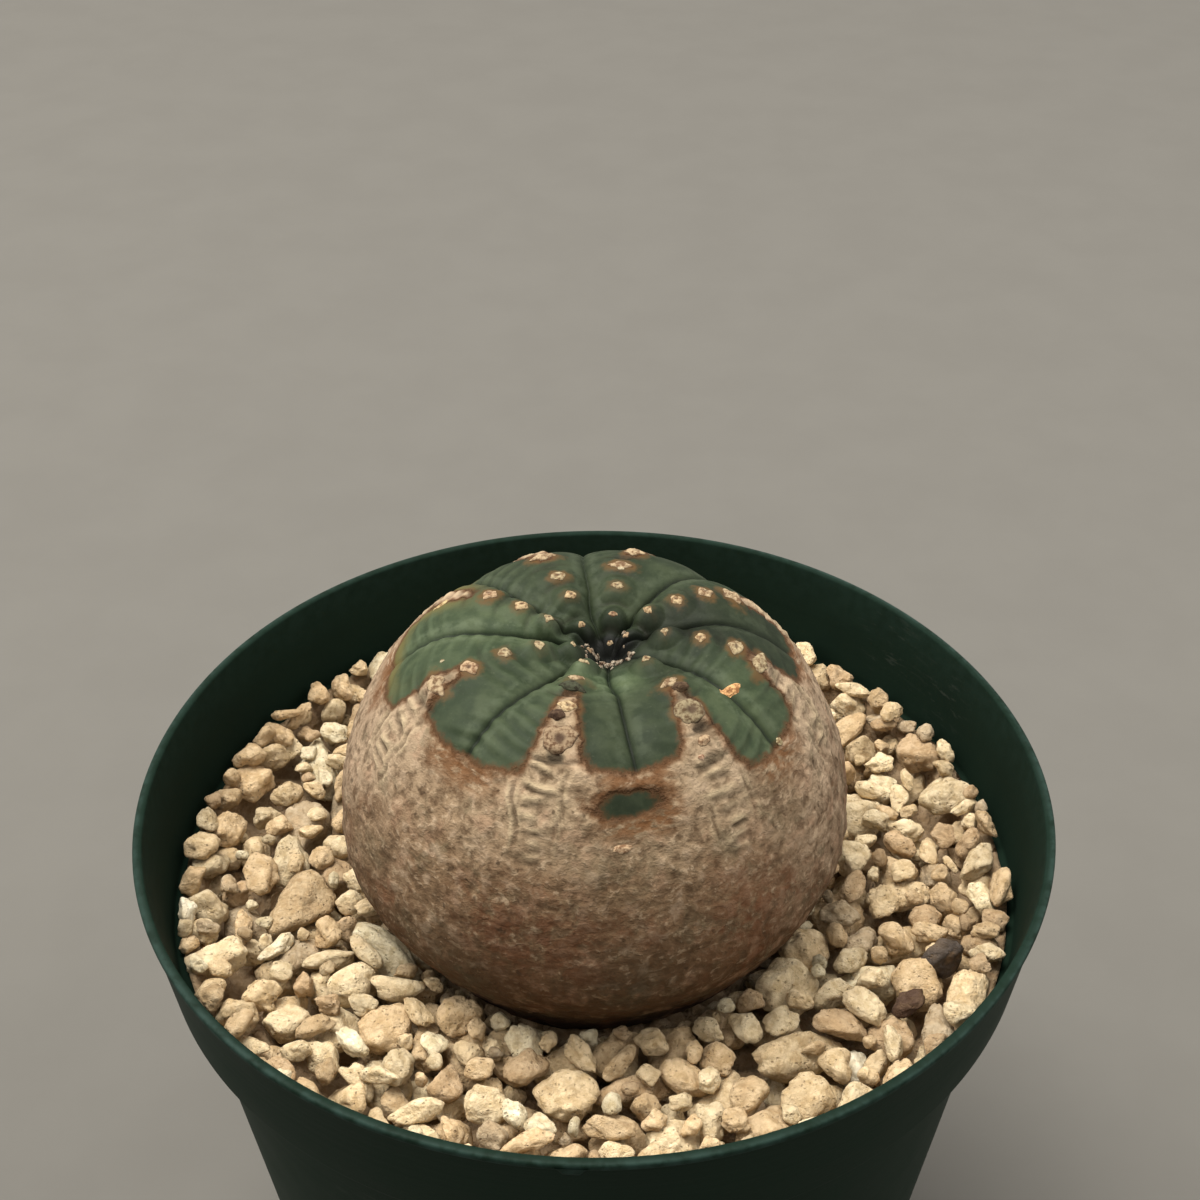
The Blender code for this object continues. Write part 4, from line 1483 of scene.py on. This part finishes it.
class HeightMap:
    """How high the gravel stands in each cell, which grain is on top, and how low the stem hangs over it."""

    def __init__(self):
        steps = np.arange(-MAP_HALF, MAP_HALF + 1) * MAP_CELL
        off = np.hypot(*np.meshgrid(steps, steps, indexing="ij"))
        self.top = np.where(off < SHELF_RADIUS, bed_height(off), shelf_height(off))
        self.top[off > WALL_REACH] = np.inf
        self.owner = np.full(self.top.shape, -1)
        below = outline.height < BELLY_HEIGHT
        under = np.interp(off - STEM_SIDE_GAP, outline.radius[below][::-1], outline.height[below][::-1])
        self.ceiling = np.where(off < BELLY_RADIUS, under - STEM_UNDER_GAP, np.inf)
        self.limit = GRAVEL_TOP + GRAVEL_WALL_RISE * smooth_step(*GRAVEL_RISE_RADII, off)

    def lowest_place(self, draw, cells, low, high, count, inner):
        """The lowest of several random places where a shape rests, as a cell and a height."""
        off = np.sqrt(draw.uniform(inner**2, WALL_REACH**2, count))
        angle = draw.uniform(0.0, FULL_TURN, count)
        spots = np.rint(around(off, angle, 0.0)[:, :2] / MAP_CELL).astype(int)
        x, y = (spots[:, None, :] + cells[None, :, :] + MAP_HALF).transpose(2, 0, 1).clip(0, 2 * MAP_HALF)
        height = (self.top[x, y] - low).max(axis=1)
        clear = (height[:, None] + high < self.ceiling[x, y]).all(axis=1)
        height = np.where(clear & np.isfinite(height), height, np.inf)
        best = int(np.argmin(height))
        return spots[best], float(height[best])

    def fits(self, spot, height, high, headroom=0.0):
        """Whether a shape that rests at a height stays below the gravel's top there."""
        x, y = spot + MAP_HALF
        return math.isfinite(height) and height + high.max() <= self.limit[x, y] - headroom

    def lay(self, spot, cells, tops, owner):
        """Raise the map to a shape's top, and note where the shape is what shows from above."""
        x, y = (spot + cells + MAP_HALF).T
        higher = tops > self.top[x, y]
        self.top[x[higher], y[higher]] = tops[higher]
        self.owner[x[higher], y[higher]] = owner


def envelope(points):
    """The map cells that a shape covers, with its lowest and highest point in each."""
    cells = np.rint(points[:, :2] / MAP_CELL).astype(int)
    corner = cells.min(axis=0)
    span = cells.max(axis=0) - corner + 1
    index = (cells - corner) @ (span[1], 1)
    low = np.full(span.prod(), np.inf)
    high = np.full(span.prod(), -np.inf)
    np.minimum.at(low, index, points[:, 2])
    np.maximum.at(high, index, points[:, 2])
    used = np.isfinite(low)
    return np.argwhere(used.reshape(span)) + corner, low[used], high[used]


class Grain:
    """A grain that was laid: which form it has, how large, and where its middle is."""

    def __init__(self, index, spot, height, scale=1.0):
        self.index = index
        self.scale = scale
        self.middle = np.array([*(spot * MAP_CELL), height])


def lay_gravel():
    """Every grain where it lies, and the map they leave."""
    draw = np.random.default_rng(GRAIN_SEED)
    template, _ = ball(FINE_GRAIN_POINTS)
    ground = HeightMap()
    grains = []
    for index in range(GRAIN_TRIES):
        cells, low, high = envelope(grain_shape(index, template)[0])
        inner = WALL_GRAIN_START if at_wall(index) else STEM_REACH
        spot, height = ground.lowest_place(draw, cells, low, high, GRAIN_SPOTS, inner)
        height -= GRAIN_SINK
        if ground.fits(spot, height, high):
            ground.lay(spot, cells, height + high, len(grains))
            grains.append(Grain(index, spot, height))
    grains.append(lay_dark_grain(template, ground, len(grains)))
    return grains, ground


def lay_dark_grain(template, ground, owner):
    """Lay the dark grain at its own place."""
    shape, _ = grain_shape(DARK_GRAIN, template)
    scale = DARK_GRAIN_HALF / np.linalg.norm(shape, axis=1).max()
    cells, low, high = envelope(shape * scale)
    spot = np.rint(np.array(DARK_GRAIN_PLACE) / MAP_CELL).astype(int)
    x, y = (spot + cells + MAP_HALF).T
    height = float((ground.top[x, y] - low).max()) - DARK_GRAIN_SINK
    ground.lay(spot, cells, height + high, owner)
    return Grain(DARK_GRAIN, spot, height, scale)


def grain_colours(grains, seen):
    """A tint for each grain, with the odd ones given to fair-sized grains near their places."""
    draw = np.random.default_rng(GRAIN_SEED + 1)
    picks = draw.choice(len(GRAIN_TINTS), len(grains), p=GRAIN_TINT_SHARES)
    tints = np.array(GRAIN_TINTS)[picks] * draw.uniform(0.74, 1.06, (len(grains), 1))
    middles = np.array([grain.middle for grain in grains])
    fair = (seen > FAIR_GRAIN_CELLS[0]) & (seen < FAIR_GRAIN_CELLS[1])
    for place, tint in ODD_GRAINS:
        off = np.hypot(*(middles[:, :2] - place).T) + np.where(fair, 0.0, 1.0)
        tints[int(np.argmin(off))] = tint
    tints[-1] = DARK_GRAIN_TINT
    return tints


def make_gravel(pumice):
    """The top dressing of pumice grains: those that show in several fine pieces, the covered ones plainer."""
    grains, ground = lay_gravel()
    seen = np.array([int((ground.owner == owner).sum()) for owner in range(len(grains))])
    tints = grain_colours(grains, seen)
    fine = seen >= FINE_GRAIN_CELLS
    plain = seen < PLAIN_GRAIN_CELLS
    azimuths = np.array([math.atan2(grain.middle[1], grain.middle[0]) for grain in grains])
    sector = ((azimuths + math.pi) / FULL_TURN * GRAVEL_PIECES).astype(int) % GRAVEL_PIECES

    def add_grains(name, chosen, count, *nodes):
        heap = Heap(count)
        for owner in np.flatnonzero(chosen):
            grain = grains[owner]
            shape, hollow = grain_shape(grain.index, heap.template)
            heap.add(shape * grain.scale + grain.middle, tints[owner], hollow)
        heap.piece(name, pumice, "gravel", *nodes)

    for piece in range(GRAVEL_PIECES):
        add_grains(f"gravel_{piece + 1}", fine & (sector == piece), FINE_GRAIN_POINTS, "gravel")
    add_grains("gravel_5", ~fine & ~plain, MIDDLE_GRAIN_POINTS)
    add_grains("gravel_low", plain, PLAIN_GRAIN_POINTS)
    return ground


def make_grit(pumice, ground):
    """Small crumbs in the hollows between the grains, a third of them along the wall."""
    draw = np.random.default_rng(GRAIN_SEED + 2)
    heap = Heap(GRIT_POINTS)
    for index in range(GRIT_TRIES):
        along_wall = index % 3 == 1
        inner = WALL_GRAIN_START if along_wall else STEM_REACH
        reach, hollow = grain_surface(draw, heap.template)
        half = draw.uniform(*GRIT_HALF_SIZES) * (WALL_GRIT_GROWTH if along_wall else 1.0)
        shape = heap.template * reach[:, None] * half * draw.uniform(0.7, 1.1, 3)
        cells, low, high = envelope(shape)
        spot, height = ground.lowest_place(draw, cells, low, high, GRIT_SPOTS, inner)
        if ground.fits(spot, height, high, GRIT_HEADROOM):
            ground.lay(spot, cells, height + high, -1)
            tint = np.array(GRAIN_TINTS[int(draw.integers(len(GRAIN_TINTS)))]) * draw.uniform(0.60, 0.95)
            heap.add(shape + (*(spot * MAP_CELL), height - GRIT_SINK), tint, hollow)
    heap.piece("grit", pumice, "gravel")


def make_gravel_bed(pumice):
    """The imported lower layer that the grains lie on, as a ring with a pebbled top that reaches over the
    pot's inner shelf."""
    azimuth = np.linspace(0.0, FULL_TURN, BED_SEGMENTS, endpoint=False)
    radii = [*np.linspace(STEM_REACH, BED_REACH, BED_RINGS), *BED_SHELF_RADII]
    section = [(BED_REACH, BED_FLOOR), (BED_REACH, SHELF_HEIGHT)]
    section += [(radius, None) for radius in reversed(radii)]
    section += [(STEM_REACH, BED_FLOOR)]
    rows = []
    hollows = []
    for radius, height in section:
        row = around(radius, azimuth, 0.0)
        pebbles = np.abs(lattice_noise(row, PEBBLE_SIZE, 53))
        if height is None:
            on_shelf = smooth_step(BED_REACH - 0.0006, BED_SHELF_RADII[0], radius)
            lumps = BED_LUMP_HEIGHT * layered_noise(row, BED_LUMP_SIZE, 51)
            bed = bed_height(radius) - BED_SINK + lumps + PEBBLE_HEIGHT * pebbles
            shelf = shelf_height(radius) + SHELF_BED_STAND + SHELF_PEBBLE_HEIGHT * pebbles
            height = bed * (1.0 - on_shelf) + shelf * on_shelf
        row[:, 2] = height
        rows.append(row)
        # darker between the bed's pebbles: painted shade
        hollows.append(1.0 - smooth_step(0.0, 0.25, pebbles))
    points = np.concatenate(rows)
    faces = grid_faces(len(section), BED_SEGMENTS, wrap=True)[:, ::-1].tolist()
    bed = add_piece("gravel_bed", points, faces, pumice, "gravel", "gravel")
    add_values(bed, hollow=np.concatenate(hollows))
    add_tints(bed, np.tile(BED_TINT, (len(points), 1)))


def dress_potting_mix():
    """The potting mix keeps its node, with a soil finish."""
    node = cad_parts["potting_mix"]
    material = soil_material()
    for slot in node.material_slots:
        slot.material = material


# Stage

def make_floor():
    """A plain floor that fills the view."""
    mesh = bpy.data.meshes.new("floor")
    corners = [(x * FLOOR_HALF, y * FLOOR_HALF, 0.0) for x, y in ((-1, -1), (1, -1), (1, 1), (-1, 1))]
    mesh.from_pydata(corners, [], [(0, 1, 2, 3)])
    mesh.materials.append(floor_material())
    floor = new_object("floor", mesh)


def make_lights():
    """Soft light from above, with weaker ones at both sides and an even sky."""
    for name, (place, size, power, colour) in LIGHTS.items():
        light = bpy.data.lights.new(name, "AREA")
        light.size = size
        light.energy = power
        light.color = colour
        lamp = new_object(name, light)
        lamp.location = place
        lamp.rotation_euler = (Vector(LIT_POINT) - Vector(place)).to_track_quat("-Z", "Y").to_euler()
    world = bpy.data.worlds.new("studio")
    world.use_nodes = True
    sky = world.node_tree.nodes["Background"]
    sky.inputs["Color"].default_value = SKY_COLOUR
    sky.inputs["Strength"].default_value = SKY_STRENGTH
    bpy.context.scene.world = world


def make_camera():
    """The photograph's camera."""
    data = bpy.data.cameras.new("camera")
    data.lens = CAMERA_LENS
    data.sensor_width = CAMERA_SENSOR
    data.clip_start = CAMERA_NEAR
    camera = new_object("camera", data)
    camera.location = CAMERA_PLACE
    camera.rotation_euler = (math.radians(CAMERA_TILT), 0.0, 0.0)
    bpy.context.scene.camera = camera


def main():
    make_camera()
    make_floor()
    make_lights()
    bpy.context.scene.view_settings.view_transform = "Standard"
    plastic = plastic_material()
    make_pot(plastic)
    make_rim_tab(plastic)
    dress_potting_mix()
    make_stem()
    wood = scar_material()
    make_scars(wood)
    make_skin_marks(wood)
    make_tip_crumbs(wood)
    pumice = pumice_material()
    make_gravel_bed(pumice)
    ground = make_gravel(pumice)
    make_grit(pumice, ground)


main()
